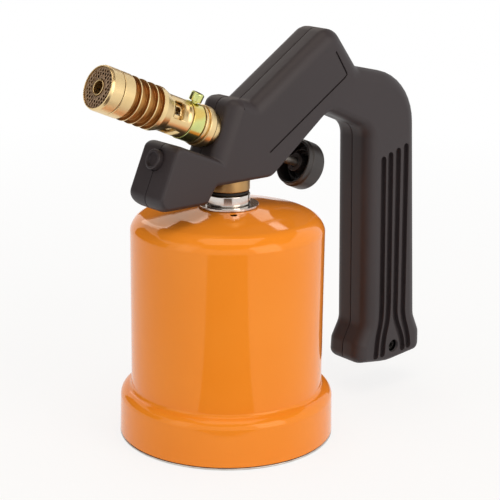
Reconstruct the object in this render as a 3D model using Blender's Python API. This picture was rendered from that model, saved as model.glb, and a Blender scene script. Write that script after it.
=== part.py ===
"""Gas cartridge torch: a brass burner and valve in a moulded two-piece handle, screwed onto a
steel holder for a pierceable gas cartridge.

The origin is the centre of the base plate, on the surface that the torch stands on. +Z is up,
the burner points to -X and upward, the handle is at +X, and the parting plane of the case is
the XZ plane. Lengths are in metres.
"""

import math

import bmesh
import bpy
from mathutils import Matrix, Vector

MM = 0.001

# Clearances and general values

FACE_GAP = 0.3 * MM
BORE_GAP = 0.35 * MM
OVERRUN = 2.0 * MM
CAN_SEGMENTS = 36
TURNED_SEGMENTS = 24
SMALL_SEGMENTS = 12
ARC_STEP = math.radians(29)
CHAMFER_LIMIT = 1.2 * MM

# Holder: a drawn steel can with a flared skirt and a twist-off base plate

CARTRIDGE_RADIUS = 45.0 * MM
CARTRIDGE_HEIGHT = 94.0 * MM
CARTRIDGE_CLEARANCE = 2.2 * MM
CARTRIDGE_HEADROOM = 9.2 * MM
SHELL_WALL = 0.8 * MM
SHOULDER_RADIUS = 7.0 * MM
CROWN_START_ANGLE = math.radians(18)
CROWN_END_ANGLE = math.radians(5)
CROWN_STEPS = 2
SHOULDER_STEPS = 4
INNER_SHOULDER_STEPS = 2
SKIRT_STEP = 5.4 * MM
SKIRT_FLARE = 0.5 * MM
SKIRT_HEIGHT = 23.2 * MM
LEDGE_RISE = 1.8 * MM
LEDGE_FILLET = 3.0 * MM
LEDGE_ROUND = 4.0 * MM
VENT_RADIUS = 1.5 * MM
VENT_MARGIN = 1.2 * MM
VENT_ANGLE = math.radians(240)

BASE_THICKNESS = 1.0 * MM
BASE_WALL = 0.8 * MM
BASE_WALL_HEIGHT = 12.0 * MM
BASE_WALL_GAP = 0.7 * MM
BAYONET_PEG_RADIUS = 1.5 * MM
BAYONET_PEG_HEIGHT = 7.5 * MM
BAYONET_PEG_REACH = 2.0 * MM
BAYONET_COUNT = 3
BAYONET_START = math.radians(5)
BAYONET_TWIST = math.radians(25)
BAYONET_SLOT_GAP = 0.4 * MM
BAYONET_SLOT_STEPS = 5

CARTRIDGE_WALL = 0.5 * MM
CARTRIDGE_SHOULDER = 9.0 * MM
CARTRIDGE_CROWN_RISE = 5.0 * MM
CARTRIDGE_TOP_FLAT = 12.0 * MM
CARTRIDGE_BOTTOM_RISE = 5.0 * MM
CARTRIDGE_BOTTOM_ROUND = 3.0 * MM
CARTRIDGE_BOTTOM_EDGE = 1.0 * MM
CARTRIDGE_PIERCED_RADIUS = 2.2 * MM

# Neck: chromed threaded bush, washer and rubber seal

STEM_THREAD_RADIUS = 7.9 * MM
BUSH_WALL = 1.35 * MM
BUSH_HEAD_LIP = 1.4 * MM
BUSH_HEAD_HEIGHT = 4.9 * MM
BUSH_CLINCH_LIP = 2.4 * MM
WASHER_LIP = 4.2 * MM
WASHER_THICKNESS = 1.0 * MM
BUSH_CLINCH_HEIGHT = 2.0 * MM
BUSH_SLEEVE_LENGTH = 7.0 * MM
BUSH_EDGE = 0.5 * MM
SEAL_WIDTH = 2.15 * MM
SEAL_THICKNESS = 1.3 * MM
SEAL_EDGE = 0.4 * MM

# Inlet: threaded stem, piercing needle and gasket

STEM_BORE_RADIUS = 1.2 * MM
STEM_SPIGOT_STEP = 1.9 * MM
STEM_SPIGOT_LENGTH = 9.0 * MM
GASKET_SETBACK = 0.5 * MM
GASKET_BORE_RADIUS = 3.0 * MM
GASKET_THICKNESS = 1.5 * MM
NEEDLE_RADIUS = 1.6 * MM
NEEDLE_BORE_RADIUS = 0.7 * MM
NEEDLE_REACH = 5.5 * MM
NEEDLE_SOCKET_DEPTH = 8.0 * MM
NEEDLE_CONE_LENGTH = 3.0 * MM
NEEDLE_TIP_RADIUS = 0.9 * MM

# Valve body: the burner axis crosses the can axis at its centre

VALVE_COLUMN_WALL = 2.45 * MM
INLET_COLLAR_LIP = 1.95 * MM
INLET_COLLAR_HEIGHT = 7.0 * MM
VALVE_COLUMN_SETBACK = 1.5 * MM
VALVE_RISE = 25.7 * MM
VALVE_BARREL_RADIUS = 8.5 * MM
VALVE_FRONT_LENGTH = 9.6 * MM
VALVE_REAR_LENGTH = 15.0 * MM
VALVE_GAS_BORE_RADIUS = 1.4 * MM
VALVE_SEAT_BORE_RADIUS = 1.9 * MM
VALVE_SEAT_STATION = -4.0 * MM
BURNER_TILT = math.radians(22.8)

# Valve spindle, gland and knob, as stations behind the valve centre

SPINDLE_RADIUS = 2.2 * MM
SPINDLE_CONE_LENGTH = 2.6 * MM
SPINDLE_TIP_RADIUS = 0.5 * MM
GLAND_BORE_RADIUS = 5.0 * MM
GLAND_O_RING_WIDTH = 2.0 * MM
GLAND_HEAD_LIP = 1.6 * MM
GLAND_HEAD_LENGTH = 7.0 * MM
GLAND_THREAD_LENGTH = 5.0 * MM
KNOB_RADIUS = 12.4 * MM
KNOB_FACE_STATION = -45.4 * MM
KNOB_LENGTH = 12.0 * MM
KNOB_WALL = 1.8 * MM
KNOB_END_THICKNESS = 3.6 * MM
KNOB_ROUND = 3.2 * MM
KNOB_LIP = 0.5 * MM
KNOB_HUB_RADIUS = 4.8 * MM
KNOB_HUB_SETBACK = 1.2 * MM
SPINDLE_GRIP_LENGTH = 7.0 * MM

# Jet, union and air tube, as stations in front of the valve centre

UNION_NECK_RADIUS = 8.4 * MM
UNION_FLANGE_RADIUS = 10.2 * MM
UNION_STANDOFF = 2.7 * MM
UNION_FLANGE_LENGTH = 4.6 * MM
UNION_GROOVE_RADIUS = 9.1 * MM
UNION_GROOVE_LENGTH = 0.9 * MM
UNION_LIP_RADIUS = 9.7 * MM
UNION_LIP_LENGTH = 1.5 * MM
UNION_EDGE = 0.6 * MM
AIR_TUBE_RADIUS = 7.3 * MM
AIR_TUBE_WALL = 0.8 * MM
AIR_TUBE_SPIGOT_LENGTH = 6.0 * MM
AIR_TUBE_LAP = 3.4 * MM
AIR_HOLE_LENGTH = 4.2 * MM
AIR_HOLE_WIDTH = 4.0 * MM
JET_HOLDER_RADIUS = 3.4 * MM
JET_HOLDER_SOCKET_DEPTH = 6.0 * MM
JET_BORE_RADIUS = 1.0 * MM
JET_NOZZLE_RADIUS = 3.0 * MM
JET_NOZZLE_LENGTH = 5.5 * MM
JET_NOZZLE_CONE = 2.0 * MM
JET_NOZZLE_TIP_RADIUS = 1.4 * MM
JET_ORIFICE_RADIUS = 0.4 * MM

# Burner: finned barrel with air windows, clamp ring, cap, mesh and pilot tube

BARREL_STEP = 1.6 * MM
CAP_LENGTH = 7.6 * MM
CAP_ROUND = 1.1 * MM
CAP_LIP = 0.4 * MM
CAP_RIM = 1.4 * MM
MESH_THICKNESS = 0.8 * MM
MESH_SETBACK = 0.9 * MM
MESH_SEAT_WIDTH = 0.8 * MM
MESH_HOLE_SIDES = 4
MESH_HOLE_ROWS = 2
# The holes' pitch as a share of the ring that they are in, and their radius and the first row's
# place as shares of that pitch
MESH_PITCH_SHARE = 0.53
MESH_HOLE_SHARE = 0.326
MESH_ROW_START_SHARE = 0.58
SPIGOT_LENGTH = 4.6 * MM
PLAIN_RING_LENGTH = 6.1 * MM
FIN_PITCH = 4.93 * MM
FIN_COUNT = 3
FIN_WIDTH = 0.7 * MM
FIN_DEPTH = 1.8 * MM
REAR_LAND_LENGTH = 2.2 * MM
CONE_LENGTH = 4.6 * MM
CHAMBER_WALL = 0.6 * MM
SLEEVE_WALL = 1.45 * MM
SLEEVE_LENGTH = 12.04 * MM
SLEEVE_BORE_GAP = 0.35 * MM
WINDOW_COUNT = 4
WINDOW_LENGTH = 5.4 * MM
WINDOW_SETBACK = 8.6 * MM
WINDOW_WIDTH = 8.6 * MM
WINDOW_ANGLE = math.radians(-71)
RING_WALL = 0.75 * MM
RING_LENGTH = 7.4 * MM
RING_SPIGOT_WALL = 0.75 * MM
PILOT_TUBE_RADIUS = 3.8 * MM
PILOT_TUBE_WALL = 0.7 * MM
PILOT_TUBE_LENGTH = 16.0 * MM
SCREW_SETBACK = 3.0 * MM
SCREW_ANGLE = math.radians(-12)
THUMB_HEAD_RADIUS = 3.2 * MM
THUMB_HEAD_HEIGHT = 4.4 * MM
THUMB_HEAD_ROUND = 0.9 * MM
THUMB_HEAD_STANDOFF = 0.6 * MM
THUMB_STEM_RADIUS = 1.5 * MM

# Case: two moulded halves that make the nose, the arm and the handle

CASE_HALF_THICKNESS = 13.0 * MM
CASE_ROUND = 5.0 * MM
CASE_ROUND_STEPS = 2
CASE_WALL = 2.6 * MM
CASE_FACE_WALL = 3.4 * MM
CASE_FLOOR_RISE = 5.3 * MM
CASE_FRONT_STATION = 13.6 * MM
NOSE_STATION = 37.5 * MM
NOSE_DROP = 12.9 * MM
NOSE_BOTTOM_DEPTH = 8.7 * MM
RISER_TOP_HEIGHT = 15.9 * MM
HANDLE_REACH = 131.4 * MM
ARM_RISE = 52.1 * MM
HANDLE_FOOT_Z = 14.8 * MM
NOSE_BOTTOM_ROUND = 5.0 * MM
NOSE_TOP_ROUND = 3.0 * MM
NECK_STEP_INNER_X = -16.7 * MM
NECK_STEP_SLOPE = 5.8 * MM
NECK_STEP_ROUND = 2.5 * MM
SHELF_ROUND = 1.0 * MM
RISER_ROUND = 5.0 * MM
# The arm: each corner as shares of the handle's reach and, above the valve, of the arm's rise, and
# its radius as a share of the reach
ARM_UNDERSIDE_SHARES = (
    (0.4125, 0.155, 0.061),
    (0.630, -0.0734, 0.069),
)
ARM_TOP_SHARES = (
    (0.886, 0.3796, 0.236),
    (0.5723, 0.5504, 0.038),
    (0.4353, 1.0000, 0.069),
    (0.0489, 0.3387, 0.023),
    (0.000, 0.3815, 0.023),
)
# The handle: the same, with heights as shares of the way from its foot up to the valve
HANDLE_SHARES = (
    (0.6553, 0.185, 0.091),
    (0.6012, 0.0257, 0.030),
    (0.784, 0.0000, 0.228),
    (1.000, 0.022, 0.038),
    (0.9482, 0.185, 0.114),
)
UNDERSIDE_START_SHARE = 0.137
UNDERSIDE_ROUND_SHARE = 0.059

GRIP_GROOVE_COUNT = 4
GRIP_GROOVE_PITCH = 5.4 * MM
GRIP_GROOVE_WIDTH = 3.0 * MM
GRIP_GROOVE_DEPTH = 2.2 * MM
# The grooves' heights as shares of the way up to the valve, and how far to the side of the foot
# screw the middle of the four runs there
GRIP_TOP_SHARE = 0.8414
GRIP_WAIST_SHARE = 0.190
GRIP_SPLAY_SHARE = 0.100
GRIP_FOOT_SHARE = 0.036
GRIP_TOP_LEAN = -4.6 * MM
GRIP_WAIST_LEAN = -2.0 * MM
GRIP_FOOT_LEAN = -0.7 * MM
GRIP_TOP_RISE = 1.7 * MM
GRIP_SPLAY_OUT = 4.4 * MM
PANEL_GROOVE_WIDTH = 0.8 * MM
PANEL_GROOVE_DEPTH = 0.7 * MM
# The panel's edge, as shares of the reach and of the arm's rise
PANEL_LINE_SHARES = ((0.1225, -0.1406), (0.5023, 0.489), (0.4406, 0.7232))
PANEL_CORNER_SHARE = 0.018
PANEL_CORNER_STEPS = 3

# Case screws: the foot's as shares of the reach and of the way up to the valve, the arm's as
# shares of the reach and of the arm's rise
FOOT_SCREW_SHARES = (0.812, 0.0675)
ARM_SCREW_SHARES = (0.3805, 0.633)
NOSE_SCREW_SETBACK = 13.3 * MM
NOSE_SCREW_DEPTH = 4.2 * MM
SCREW_HEAD_RADIUS = 3.2 * MM
SCREW_HEAD_HEIGHT = 2.4 * MM
SCREW_SHANK_RADIUS = 1.5 * MM
SCREW_LENGTH = 16.0 * MM
SCREW_RECESS_DEPTH = 4.5 * MM
SCREW_DRIVE_RADIUS = 1.2 * MM
SCREW_DRIVE_DEPTH = 1.2 * MM
BOSS_RADIUS = 5.0 * MM
BOSS_SETBACK = 0.4 * MM

# Nose plug: a round blanking plug held between the halves
PLUG_RADIUS = 5.0 * MM
PLUG_MARGIN = 4.3 * MM
PLUG_PROUD = 2.8 * MM
PLUG_KEY_HALF_WIDTH = 7.2 * MM
PLUG_KEY_HALF_HEIGHT = 4.0 * MM
PLUG_KEY_THICKNESS = 1.4 * MM
PLUG_KEY_SETBACK = 0.2 * MM
PLUG_DISH_RADIUS = 3.4 * MM
PLUG_DISH_DEPTH = 1.2 * MM
PLUG_EDGE = 0.7 * MM

# Radii and heights of the holder and neck, worked out from the sizes above

BODY_RADIUS = CARTRIDGE_RADIUS + CARTRIDGE_CLEARANCE + SHELL_WALL
SKIRT_RADIUS = BODY_RADIUS + SKIRT_STEP
BUSH_BORE_RADIUS = STEM_THREAD_RADIUS + BORE_GAP
BUSH_SHANK_RADIUS = BUSH_BORE_RADIUS + BUSH_WALL
BUSH_CLINCH_RADIUS = BUSH_SHANK_RADIUS + BUSH_CLINCH_LIP
BUSH_HEAD_RADIUS = BUSH_SHANK_RADIUS + BUSH_HEAD_LIP
WASHER_RADIUS = BUSH_HEAD_RADIUS + WASHER_LIP
SEAL_RADIUS = BUSH_BORE_RADIUS + SEAL_WIDTH
VENT_CIRCLE_RADIUS = WASHER_RADIUS + VENT_MARGIN + VENT_RADIUS
LEDGE_OUTER_Z = SKIRT_HEIGHT
LEDGE_INNER_Z = SKIRT_HEIGHT + LEDGE_RISE
CARTRIDGE_Z = BASE_THICKNESS + FACE_GAP
CARTRIDGE_TOP_Z = CARTRIDGE_Z + CARTRIDGE_HEIGHT
BODY_TOP_Z = CARTRIDGE_TOP_Z + CARTRIDGE_HEADROOM
SHOULDER_END_RADIUS = BODY_RADIUS - SHOULDER_RADIUS * (1 - math.sin(CROWN_START_ANGLE))
SHOULDER_END_Z = BODY_TOP_Z + SHOULDER_RADIUS * math.cos(CROWN_START_ANGLE)
CROWN_SLOPE = (math.tan(CROWN_START_ANGLE) + math.tan(CROWN_END_ANGLE)) / 2
NECK_SEAT_Z = SHOULDER_END_Z + (SHOULDER_END_RADIUS - WASHER_RADIUS) * CROWN_SLOPE
WASHER_Z = NECK_SEAT_Z + FACE_GAP
BUSH_HEAD_Z = WASHER_Z + WASHER_THICKNESS + FACE_GAP
BUSH_TOP_Z = BUSH_HEAD_Z + BUSH_HEAD_HEIGHT
SEAL_Z = BUSH_TOP_Z + FACE_GAP

# The torch head's: the valve's centre is above the collar, and stations run forward from it

COLLAR_Z = SEAL_Z + SEAL_THICKNESS + FACE_GAP
VALVE_Z = COLLAR_Z + VALVE_RISE
GASKET_Z = CARTRIDGE_TOP_Z + FACE_GAP
GASKET_RADIUS = STEM_THREAD_RADIUS - GASKET_SETBACK
STEM_Z = GASKET_Z + GASKET_THICKNESS + FACE_GAP
STEM_SPIGOT_RADIUS = STEM_THREAD_RADIUS - STEM_SPIGOT_STEP
VALVE_COLUMN_RADIUS = STEM_SPIGOT_RADIUS + BORE_GAP + VALVE_COLUMN_WALL
INLET_COLLAR_RADIUS = VALVE_COLUMN_RADIUS + INLET_COLLAR_LIP
GLAND_HEAD_RADIUS = GLAND_BORE_RADIUS + GLAND_HEAD_LIP
UNION_FLANGE_STATION = CASE_FRONT_STATION + UNION_STANDOFF
UNION_LIP_STATION = UNION_FLANGE_STATION + UNION_FLANGE_LENGTH + UNION_GROOVE_LENGTH
UNION_END_STATION = UNION_LIP_STATION + UNION_LIP_LENGTH
BARREL_BORE_RADIUS = AIR_TUBE_RADIUS + SLEEVE_BORE_GAP
SLEEVE_RADIUS = BARREL_BORE_RADIUS + SLEEVE_WALL
RING_SPIGOT_RADIUS = BARREL_BORE_RADIUS + RING_SPIGOT_WALL
RING_RADIUS = RING_SPIGOT_RADIUS + BORE_GAP + RING_WALL
BARREL_RADIUS = SLEEVE_RADIUS + BARREL_STEP
FIN_ROOT_RADIUS = BARREL_RADIUS - FIN_DEPTH
MESH_RADIUS = BARREL_RADIUS - CAP_RIM
CAP_BORE_RADIUS = MESH_RADIUS - MESH_SEAT_WIDTH
SPIGOT_RADIUS = CAP_BORE_RADIUS - FACE_GAP
CHAMBER_RADIUS = SPIGOT_RADIUS - CHAMBER_WALL
PILOT_HOLE_RADIUS = PILOT_TUBE_RADIUS + BORE_GAP
MESH_HOLE_PITCH = (CAP_BORE_RADIUS - PILOT_HOLE_RADIUS) * MESH_PITCH_SHARE
MESH_HOLE_RADIUS = MESH_HOLE_PITCH * MESH_HOLE_SHARE
RING_STATION = UNION_END_STATION + 2 * FACE_GAP
SLEEVE_END_STATION = RING_STATION + RING_LENGTH
JET_HOLDER_END_STATION = SLEEVE_END_STATION - FACE_GAP
SCREW_STATION = SLEEVE_END_STATION - SCREW_SETBACK
WINDOW_STATION = SLEEVE_END_STATION + WINDOW_SETBACK
AIR_TUBE_END_STATION = WINDOW_STATION + WINDOW_LENGTH / 2 + AIR_TUBE_LAP
CONE_LOW_STATION = SLEEVE_END_STATION + SLEEVE_LENGTH
CONE_TOP_STATION = CONE_LOW_STATION + CONE_LENGTH
LAND_TOP_STATION = CONE_TOP_STATION + REAR_LAND_LENGTH
LAST_FIN_STATION = LAND_TOP_STATION + FIN_PITCH - FIN_WIDTH / 2
FIRST_FIN_STATION = LAST_FIN_STATION + FIN_PITCH * (FIN_COUNT - 1)
FRONT_ROOT_LENGTH = FIN_PITCH - FIN_WIDTH / 2 - (FIN_PITCH - FIN_WIDTH) / 4
PLAIN_RING_STATION = FIRST_FIN_STATION + FRONT_ROOT_LENGTH
PLAIN_RING_END_STATION = PLAIN_RING_STATION + PLAIN_RING_LENGTH
CAP_STATION = PLAIN_RING_END_STATION + FACE_GAP
BURNER_REACH = CAP_STATION + CAP_LENGTH

# The case's

CASE_FLOOR_Z = COLLAR_Z + CASE_FLOOR_RISE
HANDLE_DROP = VALVE_Z - HANDLE_FOOT_Z
NOSE_SCREW_X = NECK_STEP_INNER_X - NOSE_SCREW_SETBACK
PLUG_DROP = NOSE_DROP + PLUG_MARGIN + PLUG_RADIUS

# How finely meshes are merged, and how much of its radius a shrinking corner keeps

MERGE_DISTANCE = 0.001 * MM
CORNER_KEEP_SHARE = 0.1

FORWARD = Vector((-math.cos(BURNER_TILT), 0, math.sin(BURNER_TILT)))
UPWARD = Vector((math.sin(BURNER_TILT), 0, math.cos(BURNER_TILT)))


def clear_scene():
    for old in list(bpy.data.objects):
        bpy.data.objects.remove(old, do_unlink=True)


def make_material(name, colour, roughness, metallic):
    material = bpy.data.materials.new(name)
    material.use_nodes = True
    shader = material.node_tree.nodes["Principled BSDF"]
    shader.inputs["Base Color"].default_value = (*colour, 1)
    shader.inputs["Roughness"].default_value = roughness
    shader.inputs["Metallic"].default_value = metallic
    material.diffuse_color = (*colour, 1)
    return material


# Outlines: closed lists of (across, along, radius) corners, and the points that they give


def turn_at(corners, index):
    """Signed turn, in radians, of the outline at one corner."""
    before = Vector(corners[index - 1][:2])
    here = Vector(corners[index][:2])
    after = Vector(corners[(index + 1) % len(corners)][:2])
    first = here - before
    second = after - here
    return math.atan2(first.cross(second), first.dot(second))


def rounded(corners, chamfer_limit=CHAMFER_LIMIT):
    """Points of a closed outline whose corners are replaced by arcs, or chamfers where small."""
    points = []
    for index, (across, along, radius) in enumerate(corners):
        here = Vector((across, along))
        if radius == 0:
            points.append(here)
            continue
        turn = turn_at(corners, index)
        before = (Vector(corners[index - 1][:2]) - here).normalized()
        after = (Vector(corners[(index + 1) % len(corners)][:2]) - here).normalized()
        reach = radius * math.tan(abs(turn) / 2)
        centre = here + (before + after).normalized() * radius / math.cos(turn / 2)
        spoke = here + before * reach - centre
        steps = 1 if radius < chamfer_limit else max(2, math.ceil(abs(turn) / ARC_STEP))
        for step in range(steps + 1):
            points.append(centre + Matrix.Rotation(turn * step / steps, 2) @ spoke)
    return points


def inset(corners, distance):
    """The same outline moved inward, for corners listed anticlockwise."""
    moved = []
    for index, (across, along, radius) in enumerate(corners):
        here = Vector((across, along))
        first = (here - Vector(corners[index - 1][:2])).normalized()
        second = (Vector(corners[(index + 1) % len(corners)][:2]) - here).normalized()
        first_side = Vector((-first.y, first.x))
        second_side = Vector((-second.y, second.x))
        place = here + (first_side + second_side) * distance / (1 + first_side.dot(second_side))
        change = distance if radius > distance else 0
        if turn_at(corners, index) > 0:
            change = -distance
        moved.append((place.x, place.y, max(radius + change, radius * CORNER_KEEP_SHARE)))
    return moved


def ribbon(points, width):
    """Closed outline of a band of even width along an open line of points."""
    left = []
    right = []
    for index, point in enumerate(points):
        before = points[max(index - 1, 0)]
        after = points[min(index + 1, len(points) - 1)]
        heading = (after - before).normalized()
        side = Vector((-heading.y, heading.x)) * width / 2
        left.append(point + side)
        right.append(point - side)
    start = (points[0] - points[1]).normalized() * width / 2
    end = (points[-1] - points[-2]).normalized() * width / 2
    return [points[0] + start] + right + [points[-1] + end] + left[::-1]


# Mesh builders


def finish_object(name, mesh_data, parent, material):
    mesh = bpy.data.meshes.new(name)
    mesh_data.to_mesh(mesh)
    mesh_data.free()
    mesh.shade_smooth()
    mesh.set_sharp_from_angle(angle=math.radians(35))
    piece = bpy.data.objects.new(name, mesh)
    bpy.context.scene.collection.objects.link(piece)
    piece.parent = parent
    if material is None:
        piece.hide_render = True
        piece.display_type = "WIRE"
    else:
        piece.data.materials.append(material)
    return piece


def turned(name, profile, segments, parent=None, material=None, closed=True):
    """A solid of revolution about local Z, from (radius, station) points."""
    shape = bmesh.new()
    rim = [shape.verts.new((point[0], 0, point[1])) for point in profile]
    edges = [shape.edges.new(pair) for pair in zip(rim, rim[1:])]
    if closed:
        edges.append(shape.edges.new((rim[-1], rim[0])))
    bmesh.ops.spin(
        shape, geom=rim + edges, cent=(0, 0, 0), axis=(0, 0, 1), angle=math.tau,
        steps=segments, use_merge=True)
    bmesh.ops.remove_doubles(shape, verts=shape.verts, dist=MERGE_DISTANCE)
    bmesh.ops.dissolve_degenerate(shape, edges=shape.edges, dist=MERGE_DISTANCE)
    bmesh.ops.recalc_face_normals(shape, faces=shape.faces)
    return finish_object(name, shape, parent, material)


def tube_profile(inner, outer, low, high, edge=0):
    """Closed profile of a plain ring with its outer edges rounded."""
    corners = ((inner, low, 0), (outer, low, edge), (outer, high, edge), (inner, high, 0))
    return rounded(corners)


def rod(name, radius, low, high, segments, parent=None, material=None):
    profile = ((0, low), (radius, low), (radius, high), (0, high))
    return turned(name, profile, segments, parent, material, closed=False)


def prism(name, outline, low, high, parent=None, material=None):
    """An outline in the XZ plane, extruded along Y."""
    shape = bmesh.new()
    face = shape.faces.new([shape.verts.new((point[0], low, point[1])) for point in outline])
    pushed = bmesh.ops.extrude_face_region(shape, geom=[face])
    top = [item for item in pushed["geom"] if isinstance(item, bmesh.types.BMVert)]
    bmesh.ops.translate(shape, verts=top, vec=(0, high - low, 0))
    bmesh.ops.recalc_face_normals(shape, faces=shape.faces)
    return finish_object(name, shape, parent, material)


def block(name, low, high, parent=None):
    """A rectangular cutter between two corners."""
    shape = bmesh.new()
    bmesh.ops.create_cube(shape, size=1)
    size = Vector(high) - Vector(low)
    middle = (Vector(high) + Vector(low)) / 2
    bmesh.ops.transform(
        shape, verts=shape.verts, matrix=Matrix.Translation(middle) @ Matrix.Diagonal((*size, 1)))
    return finish_object(name, shape, parent, None)


def bayonet_slots(name, inner, outer, half_width):
    """L-shaped slots, as one cutter: a run round the wall, with an entry from above."""
    low = BAYONET_PEG_HEIGHT - BAYONET_PEG_RADIUS - BAYONET_SLOT_GAP
    high = BAYONET_PEG_HEIGHT + BAYONET_PEG_RADIUS + BAYONET_SLOT_GAP
    top = BASE_THICKNESS + BASE_WALL_HEIGHT + OVERRUN
    shape = bmesh.new()
    for index in range(BAYONET_COUNT):
        peg_angle = BAYONET_START + math.tau * index / BAYONET_COUNT
        entry = peg_angle - BAYONET_TWIST - half_width
        angles = [entry]
        for step in range(BAYONET_SLOT_STEPS + 1):
            angles.append(entry + 2 * half_width + BAYONET_TWIST * step / BAYONET_SLOT_STEPS)
        columns = []
        for column, angle in enumerate(angles):
            heights = (low, high, top) if column < 2 else (low, high)
            columns.append([
                shape.verts.new((inner * math.cos(angle), inner * math.sin(angle), height))
                for height in heights])
        for first, second in zip(columns, columns[1:]):
            for row in range(len(second) - 1):
                shape.faces.new((first[row], second[row], second[row + 1], first[row + 1]))
    pushed = bmesh.ops.extrude_face_region(shape, geom=list(shape.faces))
    for item in pushed["geom"]:
        if isinstance(item, bmesh.types.BMVert):
            item.co.x *= outer / inner
            item.co.y *= outer / inner
    bmesh.ops.recalc_face_normals(shape, faces=shape.faces)
    return finish_object(name, shape, None, None)


def cut(piece, tool, operation="DIFFERENCE"):
    if piece.modifiers:
        piece.modifiers.new(f"{tool.name} facets", "TRIANGULATE")
    boolean = piece.modifiers.new(tool.name, "BOOLEAN")
    boolean.operation = operation
    boolean.solver = "EXACT"
    boolean.object = tool


def make_axis(name, location, rotation, parent=None):
    axis = bpy.data.objects.new(name, None)
    bpy.context.scene.collection.objects.link(axis)
    axis.location = location
    axis.rotation_euler = rotation
    axis.parent = parent
    return axis


# Holder


def dome_points(radius, shoulder, top_z, drop, shoulder_steps):
    """Crown and shoulder of the can, from the washer's seat out to the straight wall."""
    points = []
    seat_radius = WASHER_RADIUS
    end_radius = radius - shoulder * (1 - math.sin(CROWN_START_ANGLE))
    for step in range(CROWN_STEPS):
        share = step / CROWN_STEPS
        slope_drop = math.tan(CROWN_END_ANGLE) * share
        slope_gain = (math.tan(CROWN_START_ANGLE) - math.tan(CROWN_END_ANGLE)) * share * share / 2
        run = end_radius - seat_radius
        points.append((seat_radius + run * share, NECK_SEAT_Z - drop - run * (slope_drop + slope_gain)))
    for step in range(shoulder_steps + 1):
        angle = (math.pi / 2 - CROWN_START_ANGLE) * (1 - step / shoulder_steps)
        points.append((radius - shoulder + shoulder * math.cos(angle), top_z + shoulder * math.sin(angle)))
    return [(across, along, 0) for across, along in points]


def holder_profile():
    hole = BUSH_SHANK_RADIUS + BORE_GAP
    bottom = BASE_THICKNESS + FACE_GAP
    outer = [(hole, NECK_SEAT_Z, 0)]
    outer += dome_points(BODY_RADIUS, SHOULDER_RADIUS, BODY_TOP_Z, 0, SHOULDER_STEPS)
    outer += [
        (BODY_RADIUS, LEDGE_INNER_Z, LEDGE_FILLET),
        (SKIRT_RADIUS, LEDGE_OUTER_Z, LEDGE_ROUND),
        (SKIRT_RADIUS + SKIRT_FLARE, bottom, 0),
    ]
    inner = [(hole, NECK_SEAT_Z - SHELL_WALL, 0)]
    inner += dome_points(
        BODY_RADIUS - SHELL_WALL, SHOULDER_RADIUS - SHELL_WALL, BODY_TOP_Z, SHELL_WALL,
        INNER_SHOULDER_STEPS)
    inner += [
        (BODY_RADIUS - SHELL_WALL, LEDGE_INNER_Z - SHELL_WALL, 0),
        (SKIRT_RADIUS - LEDGE_ROUND, LEDGE_OUTER_Z - SHELL_WALL, 0),
        (SKIRT_RADIUS - SHELL_WALL, LEDGE_OUTER_Z - LEDGE_ROUND, 0),
        (SKIRT_RADIUS + SKIRT_FLARE - SHELL_WALL, bottom, 0),
    ]
    return rounded(outer + inner[::-1])


def build_holder(enamel):
    shell = turned("holder_shell", holder_profile(), CAN_SEGMENTS, None, enamel)
    for index in range(BAYONET_COUNT):
        turn = BAYONET_START + math.tau * index / BAYONET_COUNT
        axis = make_axis(
            f"peg_axis_{index}", (0, 0, BAYONET_PEG_HEIGHT), (0, math.pi / 2, turn))
        start = SKIRT_RADIUS - SHELL_WALL - BAYONET_PEG_REACH
        end = SKIRT_RADIUS - SHELL_WALL / 2
        peg = rod(f"peg_{index}", BAYONET_PEG_RADIUS, start, end, SMALL_SEGMENTS, axis)
        cut(shell, peg, "UNION")
    vent = rod("vent_cutter", VENT_RADIUS, BODY_TOP_Z, BUSH_TOP_Z, SMALL_SEGMENTS)
    vent.location = (
        VENT_CIRCLE_RADIUS * math.cos(VENT_ANGLE), VENT_CIRCLE_RADIUS * math.sin(VENT_ANGLE), 0)
    cut(shell, vent)
    return shell


def build_base(steel):
    wall_radius = SKIRT_RADIUS - SHELL_WALL - BASE_WALL_GAP
    wall_top = BASE_THICKNESS + BASE_WALL_HEIGHT
    edge_radius = SKIRT_RADIUS + SKIRT_FLARE
    profile = (
        (0, 0),
        (edge_radius, 0),
        (edge_radius, BASE_THICKNESS),
        (wall_radius, BASE_THICKNESS),
        (wall_radius, wall_top),
        (wall_radius - BASE_WALL, wall_top),
        (wall_radius - BASE_WALL, BASE_THICKNESS),
        (0, BASE_THICKNESS),
    )
    base = turned("base_plate", profile, CAN_SEGMENTS, None, steel, closed=False)
    inner = wall_radius - BASE_WALL - OVERRUN
    outer = wall_radius + BASE_WALL_GAP
    half_width = math.asin((BAYONET_PEG_RADIUS + BAYONET_SLOT_GAP) / inner)
    cut(base, bayonet_slots("bayonet_slots", inner, outer, half_width))
    return base


def cartridge_profile(inward):
    """Half outline of the cartridge, moved inward by the wall for the inside."""
    radius = CARTRIDGE_RADIUS - inward
    low = CARTRIDGE_Z + inward
    high = CARTRIDGE_TOP_Z - inward
    return [
        (0, low + CARTRIDGE_BOTTOM_RISE, 0),
        (radius - CARTRIDGE_SHOULDER, low + CARTRIDGE_BOTTOM_RISE, 0),
        (radius - CARTRIDGE_BOTTOM_ROUND, low, 0),
        (radius, low, CARTRIDGE_BOTTOM_EDGE),
        (radius, high - CARTRIDGE_CROWN_RISE, CARTRIDGE_SHOULDER - inward),
        (CARTRIDGE_TOP_FLAT, high, 0),
        (CARTRIDGE_PIERCED_RADIUS, high, 0),
    ]


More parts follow.
